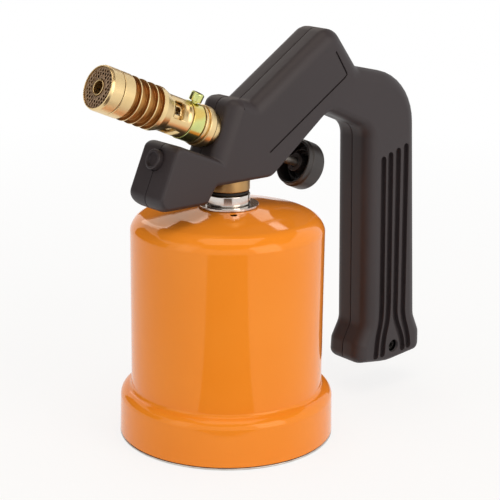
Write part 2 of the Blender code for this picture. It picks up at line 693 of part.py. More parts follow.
def build_cartridge(steel):
    outside = rounded(cartridge_profile(0) + [(0, CARTRIDGE_TOP_Z, 0)])[:-1]
    inside = rounded(
        cartridge_profile(CARTRIDGE_WALL) + [(0, CARTRIDGE_TOP_Z, 0)], CARTRIDGE_RADIUS)[:-1]
    profile = outside + inside[::-1]
    return turned("gas_cartridge", profile, CAN_SEGMENTS, None, steel, closed=False)


def build_neck(chrome, rubber):
    turned(
        "neck_washer",
        tube_profile(BUSH_SHANK_RADIUS + BORE_GAP, WASHER_RADIUS, WASHER_Z,
                     WASHER_Z + WASHER_THICKNESS, BUSH_EDGE / 2),
        TURNED_SEGMENTS, None, chrome)
    clinch_top = NECK_SEAT_Z - SHELL_WALL - FACE_GAP
    clinch_low = clinch_top - BUSH_CLINCH_HEIGHT
    sleeve_low = clinch_low - BUSH_SLEEVE_LENGTH
    corners = (
        (BUSH_BORE_RADIUS, sleeve_low, 0),
        (BUSH_SHANK_RADIUS, sleeve_low, 0),
        (BUSH_SHANK_RADIUS, clinch_low, 0),
        (BUSH_CLINCH_RADIUS, clinch_low, 0),
        (BUSH_CLINCH_RADIUS, clinch_top, 0),
        (BUSH_SHANK_RADIUS, clinch_top, 0),
        (BUSH_SHANK_RADIUS, BUSH_HEAD_Z, 0),
        (BUSH_HEAD_RADIUS, BUSH_HEAD_Z, 0),
        (BUSH_HEAD_RADIUS, BUSH_TOP_Z, BUSH_EDGE),
        (BUSH_BORE_RADIUS, BUSH_TOP_Z, 0),
    )
    turned("neck_bush", rounded(corners), TURNED_SEGMENTS, None, chrome)
    turned(
        "neck_seal",
        tube_profile(BUSH_BORE_RADIUS, SEAL_RADIUS, SEAL_Z, SEAL_Z + SEAL_THICKNESS, SEAL_EDGE),
        TURNED_SEGMENTS, None, rubber)


# Torch head


def build_inlet(brass, steel, rubber):
    turned(
        "stem_gasket",
        tube_profile(GASKET_BORE_RADIUS, GASKET_RADIUS, GASKET_Z, GASKET_Z + GASKET_THICKNESS),
        TURNED_SEGMENTS, None, rubber)
    thread_top = COLLAR_Z - FACE_GAP
    socket_top = STEM_Z + NEEDLE_SOCKET_DEPTH
    socket_radius = NEEDLE_RADIUS + BORE_GAP
    stem = (
        (socket_radius, STEM_Z),
        (STEM_THREAD_RADIUS, STEM_Z),
        (STEM_THREAD_RADIUS, thread_top),
        (STEM_SPIGOT_RADIUS, thread_top),
        (STEM_SPIGOT_RADIUS, thread_top + STEM_SPIGOT_LENGTH),
        (STEM_BORE_RADIUS, thread_top + STEM_SPIGOT_LENGTH),
        (STEM_BORE_RADIUS, socket_top),
        (socket_radius, socket_top),
    )
    turned("inlet_stem", stem, TURNED_SEGMENTS, None, brass)
    needle_top = socket_top - FACE_GAP
    needle_tip = CARTRIDGE_TOP_Z - NEEDLE_REACH
    needle = (
        (NEEDLE_BORE_RADIUS, needle_tip),
        (NEEDLE_TIP_RADIUS, needle_tip),
        (NEEDLE_RADIUS, needle_tip + NEEDLE_CONE_LENGTH),
        (NEEDLE_RADIUS, needle_top),
        (NEEDLE_BORE_RADIUS, needle_top),
    )
    turned("piercing_needle", needle, SMALL_SEGMENTS, None, steel)


def build_valve(axis, brass):
    """Column and inclined barrel in one piece, drilled for gas, stem, jet and gland."""
    column = (
        (0, COLLAR_Z),
        (INLET_COLLAR_RADIUS, COLLAR_Z),
        (INLET_COLLAR_RADIUS, COLLAR_Z + INLET_COLLAR_HEIGHT),
        (VALVE_COLUMN_RADIUS, COLLAR_Z + INLET_COLLAR_HEIGHT),
        (VALVE_COLUMN_RADIUS, VALVE_Z - VALVE_COLUMN_SETBACK),
        (0, VALVE_Z - VALVE_COLUMN_SETBACK),
    )
    valve = turned("valve_body", column, TURNED_SEGMENTS, None, brass, closed=False)
    barrel = rod(
        "valve_barrel", VALVE_BARREL_RADIUS, -VALVE_REAR_LENGTH, VALVE_FRONT_LENGTH,
        TURNED_SEGMENTS, axis)
    cut(valve, barrel, "UNION")
    spigot_top = COLLAR_Z + STEM_SPIGOT_LENGTH
    stem_socket = rod(
        "stem_socket", STEM_SPIGOT_RADIUS + BORE_GAP, COLLAR_Z - OVERRUN, spigot_top,
        TURNED_SEGMENTS)
    gas_way = rod("gas_way", VALVE_GAS_BORE_RADIUS, spigot_top - OVERRUN, VALVE_Z, SMALL_SEGMENTS)
    jet_socket = rod(
        "jet_socket", JET_HOLDER_RADIUS + BORE_GAP, VALVE_FRONT_LENGTH - JET_HOLDER_SOCKET_DEPTH,
        VALVE_FRONT_LENGTH + OVERRUN, SMALL_SEGMENTS, axis)
    seat_way = rod(
        "seat_way", VALVE_SEAT_BORE_RADIUS, VALVE_SEAT_STATION - OVERRUN,
        VALVE_FRONT_LENGTH - OVERRUN, SMALL_SEGMENTS, axis)
    gland_socket = rod(
        "gland_socket", GLAND_BORE_RADIUS, -VALVE_REAR_LENGTH - OVERRUN,
        VALVE_SEAT_STATION, TURNED_SEGMENTS, axis)
    for tool in (stem_socket, gas_way, jet_socket, seat_way, gland_socket):
        cut(valve, tool)
    return valve


def build_spindle(axis, steel, brass, rubber, plastic):
    knob_end = KNOB_FACE_STATION - KNOB_LENGTH
    grip_end = knob_end + KNOB_END_THICKNESS
    seat = VALVE_SEAT_STATION - FACE_GAP
    spindle = (
        (0, seat),
        (SPINDLE_TIP_RADIUS, seat),
        (SPINDLE_RADIUS, seat - SPINDLE_CONE_LENGTH),
        (SPINDLE_RADIUS, grip_end),
        (0, grip_end),
    )
    turned("valve_spindle", spindle, SMALL_SEGMENTS, axis, steel, closed=False)
    gland_front = -VALVE_REAR_LENGTH + GLAND_THREAD_LENGTH
    rod_bore = SPINDLE_RADIUS + BORE_GAP
    gland_thread_radius = GLAND_BORE_RADIUS - BORE_GAP
    head_front = -VALVE_REAR_LENGTH - FACE_GAP
    gland = (
        (rod_bore, gland_front),
        (gland_thread_radius, gland_front),
        (gland_thread_radius, head_front),
        (GLAND_HEAD_RADIUS, head_front),
        (GLAND_HEAD_RADIUS, head_front - GLAND_HEAD_LENGTH),
        (rod_bore, head_front - GLAND_HEAD_LENGTH),
    )
    turned("gland_nut", gland, TURNED_SEGMENTS, axis, brass)
    ring_low = gland_front + FACE_GAP
    turned(
        "gland_o_ring",
        tube_profile(rod_bore, gland_thread_radius, ring_low, ring_low + GLAND_O_RING_WIDTH,
                     SEAL_EDGE),
        TURNED_SEGMENTS, axis, rubber)
    cup = KNOB_RADIUS - KNOB_WALL
    hub_face = KNOB_FACE_STATION - KNOB_HUB_SETBACK
    corners = (
        (0, knob_end, 0),
        (KNOB_RADIUS, knob_end, KNOB_ROUND),
        (KNOB_RADIUS, KNOB_FACE_STATION, KNOB_LIP),
        (cup, KNOB_FACE_STATION, KNOB_LIP),
        (cup, grip_end, 0),
        (KNOB_HUB_RADIUS, grip_end, 0),
        (KNOB_HUB_RADIUS, hub_face, 0),
        (rod_bore, hub_face, 0),
        (rod_bore, grip_end - FACE_GAP, 0),
        (0, grip_end - FACE_GAP, 0),
    )
    turned("knob", rounded(corners), TURNED_SEGMENTS, axis, plastic, closed=False)


def build_jet(axis, brass, steel):
    union_low = VALVE_FRONT_LENGTH + FACE_GAP
    union_bore = JET_HOLDER_RADIUS + BORE_GAP
    flange_top = UNION_FLANGE_STATION + UNION_FLANGE_LENGTH
    spigot_radius = AIR_TUBE_RADIUS - AIR_TUBE_WALL - FACE_GAP
    spigot_top = UNION_END_STATION + AIR_TUBE_SPIGOT_LENGTH
    corners = (
        (union_bore, union_low, 0),
        (UNION_NECK_RADIUS, union_low, 0),
        (UNION_NECK_RADIUS, UNION_FLANGE_STATION, 0),
        (UNION_FLANGE_RADIUS, UNION_FLANGE_STATION, UNION_EDGE),
        (UNION_FLANGE_RADIUS, flange_top, UNION_EDGE),
        (UNION_GROOVE_RADIUS, flange_top, 0),
        (UNION_GROOVE_RADIUS, UNION_LIP_STATION, 0),
        (UNION_LIP_RADIUS, UNION_LIP_STATION, 0),
        (UNION_LIP_RADIUS, UNION_END_STATION, 0),
        (spigot_radius, UNION_END_STATION, 0),
        (spigot_radius, spigot_top, 0),
        (union_bore, spigot_top, 0),
    )
    turned("burner_union", rounded(corners), TURNED_SEGMENTS, axis, brass)
    turned(
        "jet_holder",
        tube_profile(
            JET_BORE_RADIUS, JET_HOLDER_RADIUS,
            VALVE_FRONT_LENGTH - JET_HOLDER_SOCKET_DEPTH + FACE_GAP, JET_HOLDER_END_STATION),
        SMALL_SEGMENTS, axis, brass)
    nozzle_low = JET_HOLDER_END_STATION + FACE_GAP
    nozzle_high = nozzle_low + JET_NOZZLE_LENGTH
    nozzle = (
        (JET_ORIFICE_RADIUS, nozzle_low),
        (JET_NOZZLE_RADIUS, nozzle_low),
        (JET_NOZZLE_RADIUS, nozzle_high - JET_NOZZLE_CONE),
        (JET_NOZZLE_TIP_RADIUS, nozzle_high),
        (JET_ORIFICE_RADIUS, nozzle_high),
    )
    turned("jet_nozzle", nozzle, SMALL_SEGMENTS, axis, steel)
    tube = turned(
        "air_tube",
        tube_profile(
            AIR_TUBE_RADIUS - AIR_TUBE_WALL, AIR_TUBE_RADIUS, UNION_END_STATION + FACE_GAP,
            AIR_TUBE_END_STATION),
        TURNED_SEGMENTS, axis, brass)
    cut_windows(tube, axis, "air_hole", AIR_HOLE_LENGTH, AIR_HOLE_WIDTH,
                AIR_TUBE_RADIUS + OVERRUN, AIR_TUBE_RADIUS / 2)


def cut_windows(piece, axis, name, length, width, outer, inner):
    """Evenly spaced windows, cut from outside to the bore."""
    for index in range(WINDOW_COUNT):
        turn = WINDOW_ANGLE + math.tau * index / WINDOW_COUNT
        low = (inner, -width / 2, WINDOW_STATION - length / 2)
        high = (outer, width / 2, WINDOW_STATION + length / 2)
        window = block(f"{name}_{index}", low, high, axis)
        window.rotation_euler = (0, 0, turn)
        cut(piece, window)


def barrel_profile():
    points = [
        (CHAMBER_RADIUS, CAP_STATION + SPIGOT_LENGTH),
        (SPIGOT_RADIUS, CAP_STATION + SPIGOT_LENGTH),
        (SPIGOT_RADIUS, PLAIN_RING_END_STATION),
        (BARREL_RADIUS, PLAIN_RING_END_STATION),
        (BARREL_RADIUS, PLAIN_RING_STATION),
        (FIN_ROOT_RADIUS, PLAIN_RING_STATION),
    ]
    for index in range(FIN_COUNT):
        fin = FIRST_FIN_STATION - FIN_PITCH * index
        points += [
            (FIN_ROOT_RADIUS, fin + FIN_WIDTH),
            (BARREL_RADIUS, fin + FIN_WIDTH / 2),
            (BARREL_RADIUS, fin - FIN_WIDTH / 2),
            (FIN_ROOT_RADIUS, fin - FIN_WIDTH),
        ]
    points += [
        (FIN_ROOT_RADIUS, LAND_TOP_STATION),
        (BARREL_RADIUS, LAND_TOP_STATION),
        (BARREL_RADIUS, CONE_TOP_STATION),
        (SLEEVE_RADIUS, CONE_LOW_STATION),
        (SLEEVE_RADIUS, SLEEVE_END_STATION),
        (RING_SPIGOT_RADIUS, SLEEVE_END_STATION),
        (RING_SPIGOT_RADIUS, UNION_END_STATION + FACE_GAP),
        (BARREL_BORE_RADIUS, UNION_END_STATION + FACE_GAP),
        (BARREL_BORE_RADIUS, CONE_TOP_STATION),
        (CHAMBER_RADIUS, CONE_TOP_STATION + OVERRUN),
    ]
    return points


def build_burner(axis, brass, zinc, dark):
    barrel = turned("burner_barrel", barrel_profile(), TURNED_SEGMENTS, axis, brass)
    cut_windows(barrel, axis, "air_window", WINDOW_LENGTH, WINDOW_WIDTH,
                BARREL_RADIUS + OVERRUN, AIR_TUBE_RADIUS / 2)

    seat = BURNER_REACH - MESH_SETBACK - MESH_THICKNESS - FACE_GAP
    mouth = MESH_RADIUS + FACE_GAP
    corners = (
        (CAP_BORE_RADIUS, CAP_STATION, 0),
        (BARREL_RADIUS, CAP_STATION, 0),
        (BARREL_RADIUS, BURNER_REACH, CAP_ROUND),
        (mouth, BURNER_REACH, 0),
        (mouth, seat, 0),
        (CAP_BORE_RADIUS, seat, 0),
    )
    turned("burner_cap", rounded(corners), TURNED_SEGMENTS, axis, brass)

    mesh_low = seat + FACE_GAP
    mesh = turned(
        "flame_mesh",
        tube_profile(PILOT_HOLE_RADIUS, MESH_RADIUS, mesh_low, mesh_low + MESH_THICKNESS),
        TURNED_SEGMENTS, axis, dark)
    cut(mesh, mesh_hole_cutter(axis, mesh_low))
    turned(
        "pilot_tube",
        tube_profile(
            PILOT_TUBE_RADIUS - PILOT_TUBE_WALL, PILOT_TUBE_RADIUS,
            BURNER_REACH - PILOT_TUBE_LENGTH, BURNER_REACH - CAP_LIP),
        TURNED_SEGMENTS, axis, brass)

    ring_bore = RING_SPIGOT_RADIUS + BORE_GAP
    ring = turned(
        "clamp_ring",
        tube_profile(
            ring_bore, RING_RADIUS, RING_STATION, SLEEVE_END_STATION - FACE_GAP, CAP_LIP),
        TURNED_SEGMENTS, axis, zinc)
    screw_axis = make_axis(
        "thumb_screw_axis", (0, 0, SCREW_STATION), (0, math.pi / 2, SCREW_ANGLE), axis)
    return barrel, ring, screw_axis


def mesh_hole_cutter(axis, low):
    """Rings of small holes round the pilot tube, as one cutter."""
    shape = bmesh.new()
    for row in range(MESH_HOLE_ROWS):
        circle = PILOT_HOLE_RADIUS + MESH_HOLE_PITCH * (row + MESH_ROW_START_SHARE)
        count = int(math.tau * circle / MESH_HOLE_PITCH)
        for index in range(count):
            turn = math.tau * (index + row / 2) / count
            place = Matrix.Rotation(turn, 4, "Z") @ Matrix.Translation(
                (circle, 0, low + MESH_THICKNESS / 2))
            bmesh.ops.create_cone(
                shape, cap_ends=True, segments=MESH_HOLE_SIDES, radius1=MESH_HOLE_RADIUS,
                radius2=MESH_HOLE_RADIUS, depth=MESH_THICKNESS + OVERRUN, matrix=place)
    return finish_object("mesh_holes", shape, axis, None)


def build_thumb_screw(barrel, ring, screw_axis, zinc):
    bearing = AIR_TUBE_RADIUS + FACE_GAP
    head_low = RING_RADIUS + THUMB_HEAD_STANDOFF
    head_high = head_low + THUMB_HEAD_HEIGHT
    corners = (
        (0, bearing, 0),
        (THUMB_STEM_RADIUS, bearing, 0),
        (THUMB_STEM_RADIUS, head_low, 0),
        (THUMB_HEAD_RADIUS, head_low, 0),
        (THUMB_HEAD_RADIUS, head_high, THUMB_HEAD_ROUND),
        (0, head_high, 0),
    )
    turned("thumb_screw", rounded(corners), SMALL_SEGMENTS, screw_axis, zinc, closed=False)
    hole = rod(
        "screw_hole", THUMB_STEM_RADIUS + BORE_GAP, AIR_TUBE_RADIUS - AIR_TUBE_WALL,
        RING_RADIUS + OVERRUN, SMALL_SEGMENTS, screw_axis)
    cut(ring, hole)
    cut(barrel, hole)


# Case


def burner_point(station, height):
    """A point of the XZ plane, given along and across the burner axis."""
    place = Vector((0, 0, VALVE_Z)) + FORWARD * station + UPWARD * height
    return place.x, place.z


def arm_point(shares):
    """A point of the XZ plane, as shares of the reach and of the arm's rise above the valve."""
    return Vector((shares[0] * HANDLE_REACH, VALVE_Z + shares[1] * ARM_RISE))


def handle_point(shares):
    """The same, as shares of the reach and of the way from the handle's foot up to the valve."""
    return Vector((shares[0] * HANDLE_REACH, HANDLE_FOOT_Z + shares[1] * HANDLE_DROP))


def case_corners():
    """The outline of the case, anticlockwise from the nose's lower corner."""
    nose_bottom = CASE_FLOOR_Z - NOSE_BOTTOM_DEPTH
    nose_top = burner_point(NOSE_STATION, -NOSE_DROP)
    lean = FORWARD.x / FORWARD.z
    nose_foot_x = nose_top[0] + (nose_top[1] - nose_bottom) / lean
    corners = [
        (nose_foot_x, nose_bottom, NOSE_BOTTOM_ROUND),
        (NECK_STEP_INNER_X - NECK_STEP_SLOPE, nose_bottom, NECK_STEP_ROUND),
        (NECK_STEP_INNER_X, CASE_FLOOR_Z, NECK_STEP_ROUND),
        (UNDERSIDE_START_SHARE * HANDLE_REACH, CASE_FLOOR_Z, UNDERSIDE_ROUND_SHARE * HANDLE_REACH),
    ]
    for across, along, radius in ARM_UNDERSIDE_SHARES:
        corners.append((*arm_point((across, along)), radius * HANDLE_REACH))
    for across, along, radius in HANDLE_SHARES:
        corners.append((*handle_point((across, along)), radius * HANDLE_REACH))
    for across, along, radius in ARM_TOP_SHARES:
        corners.append((*arm_point((across, along)), radius * HANDLE_REACH))
    corners += [
        (*burner_point(CASE_FRONT_STATION, RISER_TOP_HEIGHT), RISER_ROUND),
        (*burner_point(CASE_FRONT_STATION, -NOSE_DROP), SHELF_ROUND),
        (*nose_top, NOSE_TOP_ROUND),
    ]
    return corners


def case_half(name, side, plastic):
    """One hollow half: rounded outside, straight inside, open at the parting plane."""
    corners = case_corners()
    parting = side * FACE_GAP / 2
    pocket = rounded(inset(corners, CASE_WALL), 0)
    rings = [
        (pocket, side * (CASE_HALF_THICKNESS - CASE_FACE_WALL)),
        (pocket, parting),
        (rounded(corners, 0), parting),
    ]
    for step in range(CASE_ROUND_STEPS + 1):
        angle = math.pi / 2 * step / CASE_ROUND_STEPS
        moved = inset(corners, CASE_ROUND * (1 - math.cos(angle)))
        depth = CASE_HALF_THICKNESS - CASE_ROUND * (1 - math.sin(angle))
        rings.append((rounded(moved, 0), side * depth))
    shape = bmesh.new()
    loops = [
        [shape.verts.new((point.x, depth, point.y)) for point in points]
        for points, depth in rings]
    for first, second in zip(loops, loops[1:]):
        for index in range(len(first)):
            after = (index + 1) % len(first)
            shape.faces.new((first[index], first[after], second[after], second[index]))
    shape.faces.new(loops[0])
    shape.faces.new(loops[-1])
    bmesh.ops.recalc_face_normals(shape, faces=shape.faces)
    return finish_object(name, shape, None, plastic)


def grip_groove_line(index):
    """One groove: straight down the handle, then out round the foot screw."""
    screw = handle_point(FOOT_SCREW_SHARES).x
    place = (index - (GRIP_GROOVE_COUNT - 1) / 2) * GRIP_GROOVE_PITCH
    splayed = place + math.copysign(GRIP_SPLAY_OUT, place)
    heights = [
        handle_point((0, share)).y
        for share in (GRIP_TOP_SHARE, GRIP_WAIST_SHARE, GRIP_SPLAY_SHARE, GRIP_FOOT_SHARE)]
    top = Vector((screw + GRIP_TOP_LEAN + place, heights[0] + GRIP_TOP_RISE * index))
    waist = Vector((screw + GRIP_WAIST_LEAN + place, heights[1]))
    splay = Vector((screw + GRIP_FOOT_LEAN + splayed, heights[2]))
    foot = Vector((screw + GRIP_FOOT_LEAN + splayed, heights[3]))
    return [top, waist, splay, foot]


def panel_line():
    """The stepped edge of the arm's panel, with its corner rounded."""
    start, corner, end = [arm_point(shares) for shares in PANEL_LINE_SHARES]
    reach = PANEL_CORNER_SHARE * HANDLE_REACH
    first = corner + (start - corner).normalized() * reach
    last = corner + (end - corner).normalized() * reach
    points = [start]
    for step in range(PANEL_CORNER_STEPS + 1):
        share = step / PANEL_CORNER_STEPS
        points.append(first.lerp(corner, share).lerp(corner.lerp(last, share), share))
    points.append(end)
    return points


def cut_case(half, side, axis):
    """Openings for the neck, the union and the gland, and the grooves in the outer face."""
    face = side * CASE_HALF_THICKNESS
    neck = rod(
        f"neck_opening_{half.name}", INLET_COLLAR_RADIUS + BORE_GAP, COLLAR_Z,
        COLLAR_Z + INLET_COLLAR_HEIGHT + OVERRUN, TURNED_SEGMENTS)
    front = rod(
        f"union_opening_{half.name}", UNION_NECK_RADIUS + BORE_GAP,
        VALVE_FRONT_LENGTH - OVERRUN, UNION_FLANGE_STATION + OVERRUN, TURNED_SEGMENTS, axis)
    rear = rod(
        f"gland_opening_{half.name}", GLAND_HEAD_RADIUS + BORE_GAP,
        KNOB_FACE_STATION, -VALVE_REAR_LENGTH, TURNED_SEGMENTS, axis)
    cutters = [neck, front, rear]
    for index in range(GRIP_GROOVE_COUNT):
        outline = ribbon(grip_groove_line(index), GRIP_GROOVE_WIDTH)
        cutters.append(prism(
            f"grip_groove_{index}_{half.name}", outline, face - side * GRIP_GROOVE_DEPTH,
            face + side * OVERRUN))
    outline = ribbon(panel_line(), PANEL_GROOVE_WIDTH)
    cutters.append(prism(
        f"panel_groove_{half.name}", outline, face - side * PANEL_GROOVE_DEPTH,
        face + side * OVERRUN))
    plug_axis = plug_frame()
    cutters.append(rod(
        f"plug_opening_{half.name}", PLUG_RADIUS + BORE_GAP, -CASE_WALL - OVERRUN, OVERRUN,
        TURNED_SEGMENTS, plug_axis))
    for tool in cutters:
        cut(half, tool)


def plug_frame():
    """Axis square to the nose's front face, at the centre of the plug."""
    across, along = burner_point(NOSE_STATION, -PLUG_DROP)
    return make_axis("plug_axis", (across, 0, along), (0, BURNER_TILT - math.pi / 2, 0))


def screw_places():
    """Each case screw: name, place in the XZ plane, and the side that its head is on."""
    nose = Vector((NOSE_SCREW_X, CASE_FLOOR_Z - NOSE_BOTTOM_DEPTH + CASE_WALL + NOSE_SCREW_DEPTH))
    return (
        ("foot_screw", handle_point(FOOT_SCREW_SHARES), -1),
        ("arm_screw", arm_point(ARM_SCREW_SHARES), 1),
        ("nose_screw", nose, 1),
    )


def build_screw(name, place, side, halves, steel):
    """A pan-head screw, its recess and clearance hole in one half and its pilot in the other."""
    axis = make_axis(f"{name}_axis", (place.x, 0, place.y), (-side * math.pi / 2, 0, 0))
    floor = CASE_HALF_THICKNESS - SCREW_RECESS_DEPTH
    head_low = floor + FACE_GAP
    head_high = head_low + SCREW_HEAD_HEIGHT
    tip = head_low - SCREW_LENGTH
    profile = (
        (0, tip),
        (SCREW_SHANK_RADIUS, tip),
        (SCREW_SHANK_RADIUS, head_low),
        (SCREW_HEAD_RADIUS, head_low),
        (SCREW_HEAD_RADIUS, head_high),
        (SCREW_DRIVE_RADIUS, head_high),
        (SCREW_DRIVE_RADIUS, head_high - SCREW_DRIVE_DEPTH),
        (0, head_high - SCREW_DRIVE_DEPTH),
    )
    turned(name, profile, SMALL_SEGMENTS, axis, steel, closed=False)
    inner_face = CASE_HALF_THICKNESS - CASE_FACE_WALL
    for half, half_side in halves:
        near = side == half_side
        outward = 1 if near else -1
        start = outward * (FACE_GAP / 2 + BOSS_SETBACK)
        end = outward * (inner_face + CASE_WALL / 2)
        boss = rod(
            f"{name}_boss_{half.name}", BOSS_RADIUS, min(start, end), max(start, end),
            SMALL_SEGMENTS, axis)
        cut(half, boss, "UNION")
        hole = rod(
            f"{name}_hole_{half.name}", SCREW_SHANK_RADIUS + BORE_GAP,
            tip - FACE_GAP, CASE_HALF_THICKNESS + OVERRUN, SMALL_SEGMENTS, axis)
        cut(half, hole)
        if near:
            recess = rod(
                f"{name}_recess", SCREW_HEAD_RADIUS + BORE_GAP, floor,
                CASE_HALF_THICKNESS + OVERRUN, SMALL_SEGMENTS, axis)
            cut(half, recess)


def build_case(axis, plastic, steel):
    left = case_half("case_left", -1, plastic)
    right = case_half("case_right", 1, plastic)
    halves = ((left, -1), (right, 1))
    for name, place, side in screw_places():
        build_screw(name, place, side, halves, steel)
    for half, side in halves:
        cut_case(half, side, axis)
    build_plug(plastic)


def build_plug(plastic):
    """A round plug, kept in by a key plate behind the wall."""
    key_front = -CASE_WALL - FACE_GAP
    key_back = key_front - PLUG_KEY_THICKNESS
    corners = (
        (0, key_back, 0),
        (PLUG_RADIUS, key_back, 0),
        (PLUG_RADIUS, PLUG_PROUD, PLUG_EDGE),
        (PLUG_DISH_RADIUS, PLUG_PROUD, 0),
        (PLUG_DISH_RADIUS, PLUG_PROUD - PLUG_DISH_DEPTH, 0),
        (0, PLUG_PROUD - PLUG_DISH_DEPTH, 0),
    )
    axis = plug_frame()
    plug = turned("nose_plug", rounded(corners), TURNED_SEGMENTS, axis, plastic, closed=False)
    corner = Vector((PLUG_KEY_HALF_HEIGHT, PLUG_KEY_HALF_WIDTH, 0))
    key = block(
        "plug_key", -corner + Vector((0, 0, key_back + PLUG_KEY_SETBACK)),
        corner + Vector((0, 0, key_front)), axis)
    cut(plug, key, "UNION")


def build_torch():
    clear_scene()
    enamel = make_material("orange enamel", (0.86, 0.24, 0.02), 0.18, 0.0)
    plain_steel = make_material("galvanised steel", (0.55, 0.55, 0.55), 0.4, 1.0)
    chrome = make_material("chrome plate", (0.8, 0.8, 0.82), 0.08, 1.0)
    brass = make_material("turned brass", (0.83, 0.6, 0.27), 0.28, 1.0)
    zinc = make_material("yellow zinc plate", (0.66, 0.72, 0.28), 0.2, 1.0)
    rubber = make_material("black rubber", (0.02, 0.02, 0.02), 0.7, 0.0)
    plastic = make_material("charcoal plastic", (0.06, 0.05, 0.052), 0.5, 0.0)
    dark = make_material("flame mesh steel", (0.1, 0.09, 0.08), 0.5, 1.0)

    burner_axis = make_axis("burner_axis", (0, 0, VALVE_Z), (0, BURNER_TILT - math.pi / 2, 0))
    build_holder(enamel)
    build_base(plain_steel)
    build_cartridge(plain_steel)
    build_neck(chrome, rubber)
    build_inlet(brass, plain_steel, rubber)
    build_valve(burner_axis, brass)
    build_spindle(burner_axis, plain_steel, brass, rubber, plastic)
    build_jet(burner_axis, brass, plain_steel)
    barrel, ring, screw_axis = build_burner(burner_axis, brass, zinc, dark)
    build_thumb_screw(barrel, ring, screw_axis, zinc)
    build_case(burner_axis, plastic, plain_steel)


build_torch()
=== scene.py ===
"""Looks of a gas cartridge torch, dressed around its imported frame.

The sections follow the torch as it is put together: holder, base, neck, valve, burner, case,
screws and knob, and then the floor, lights and camera. Outlines are in millimetres, and meshes in
metres.
"""

import math

import bmesh
import bpy
from mathutils import Matrix, Vector


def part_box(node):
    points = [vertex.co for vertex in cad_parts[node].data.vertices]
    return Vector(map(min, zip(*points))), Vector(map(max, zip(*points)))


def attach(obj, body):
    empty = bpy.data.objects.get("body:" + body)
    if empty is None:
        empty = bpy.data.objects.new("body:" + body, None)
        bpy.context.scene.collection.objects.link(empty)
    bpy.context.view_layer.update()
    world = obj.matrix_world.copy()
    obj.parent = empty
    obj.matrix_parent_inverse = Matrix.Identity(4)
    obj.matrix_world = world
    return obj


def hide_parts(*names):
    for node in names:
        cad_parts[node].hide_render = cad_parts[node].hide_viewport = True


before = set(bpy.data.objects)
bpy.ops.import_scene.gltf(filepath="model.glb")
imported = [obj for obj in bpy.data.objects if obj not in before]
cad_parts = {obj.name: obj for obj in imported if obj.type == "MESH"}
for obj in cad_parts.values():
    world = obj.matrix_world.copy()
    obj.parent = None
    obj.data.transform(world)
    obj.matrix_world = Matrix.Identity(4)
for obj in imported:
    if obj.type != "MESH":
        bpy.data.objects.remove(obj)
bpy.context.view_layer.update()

# Holder shell
# A deep-drawn steel can, 0.8 mm thick, dipped and baked in glossy orange enamel after forming.
# Dome, body and flared skirt are one piece, and the neck bush is clinched in the dome.
MM = 0.001


def linear(hex_colour):
    """The linear RGBA value of an sRGB hex colour."""
    channels = [int(hex_colour[place:place + 2], 16) / 255 for place in (1, 3, 5)]
    values = [
        channel / 12.92 if channel <= 0.04045 else ((channel + 0.055) / 1.055) ** 2.4
        for channel in channels]
    return (*values, 1.0)


def add_node(material, kind, inputs=None, **settings):
    """Adds one shader node, sets its properties, and fills or links its inputs."""
    tree = material.node_tree
    node = tree.nodes.new("ShaderNode" + kind)
    for name, value in settings.items():
        setattr(node, name, value)
    for socket, value in (inputs or {}).items():
        if isinstance(value, bpy.types.NodeSocket):
            tree.links.new(value, node.inputs[socket])
        else:
            node.inputs[socket].default_value = value
    return node


def new_finish(name, **inputs):
    """A material with one Principled shader, whose plain values are given by socket name."""
    material = bpy.data.materials.new(name)
    material.use_nodes = True
    shader = material.node_tree.nodes["Principled BSDF"]
    for socket, value in inputs.items():
        shader.inputs[socket.replace("_", " ")].default_value = value
    return material, shader


def feed(material, shader, **links):
    """Joins node outputs to the shader's inputs."""
    for socket, output in links.items():
        material.node_tree.links.new(output, shader.inputs[socket.replace("_", " ")])


def blended(material, factor, first, second):
    """A colour that goes from the first hex to the second as the factor goes from 0 to 1."""
    ramp = add_node(material, "ValToRGB", {"Fac": factor})
    ramp.color_ramp.elements[0].color = linear(first)
    ramp.color_ramp.elements[1].color = linear(second)
    return ramp.outputs["Color"]


# A noise's scale is in features to the metre, so 480 makes them about 2 mm wide. A wave's bands
# are three times as close, so 300 sets them about 1 mm apart.

# Stoved enamel: thick gloss with a faint orange peel of about 2 mm, and barely uneven colour
enamel, shader = new_finish("stoved orange enamel", Roughness=0.08, IOR=1.5,
                            Specular_Tint=linear("#FFE0BC"))
place = add_node(enamel, "TexCoord").outputs["Object"]
cloud = add_node(enamel, "TexNoise", {"Vector": place, "Scale": 28.0, "Detail": 2.0})
peel = add_node(enamel, "TexNoise", {"Vector": place, "Scale": 480.0, "Detail": 1.0})
skin = add_node(
    enamel, "Bump", {"Strength": 0.06, "Distance": 0.05 * MM, "Height": peel.outputs["Fac"]})
feed(enamel, shader, Base_Color=blended(enamel, cloud.outputs["Fac"], "#F58C22", "#F8942E"),
     Normal=skin.outputs["Normal"])


def rounded(corners, arc_step=math.radians(12)):
    """Points of an outline of (across, along, radius) corners, closed round."""
    points = []
    for index, (across, along, radius) in enumerate(corners):
        here = Vector((across, along))
        before = here - Vector(corners[index - 1][:2])
        after = Vector(corners[(index + 1) % len(corners)][:2]) - here
        turn = math.atan2(before.cross(after), before.dot(after))
        if radius == 0 or abs(turn) < math.radians(1):
            points.append(here)
            continue
        reach = radius * math.tan(abs(turn) / 2)
        start = here - before.normalized() * reach
        side = math.copysign(radius, turn)
        centre = start + Vector((-before.y, before.x)).normalized() * side
        steps = max(2, math.ceil(abs(turn) / arc_step - 0.01))
        for step in range(steps + 1):
            points.append(centre + Matrix.Rotation(turn * step / steps, 2) @ (start - centre))
    return points


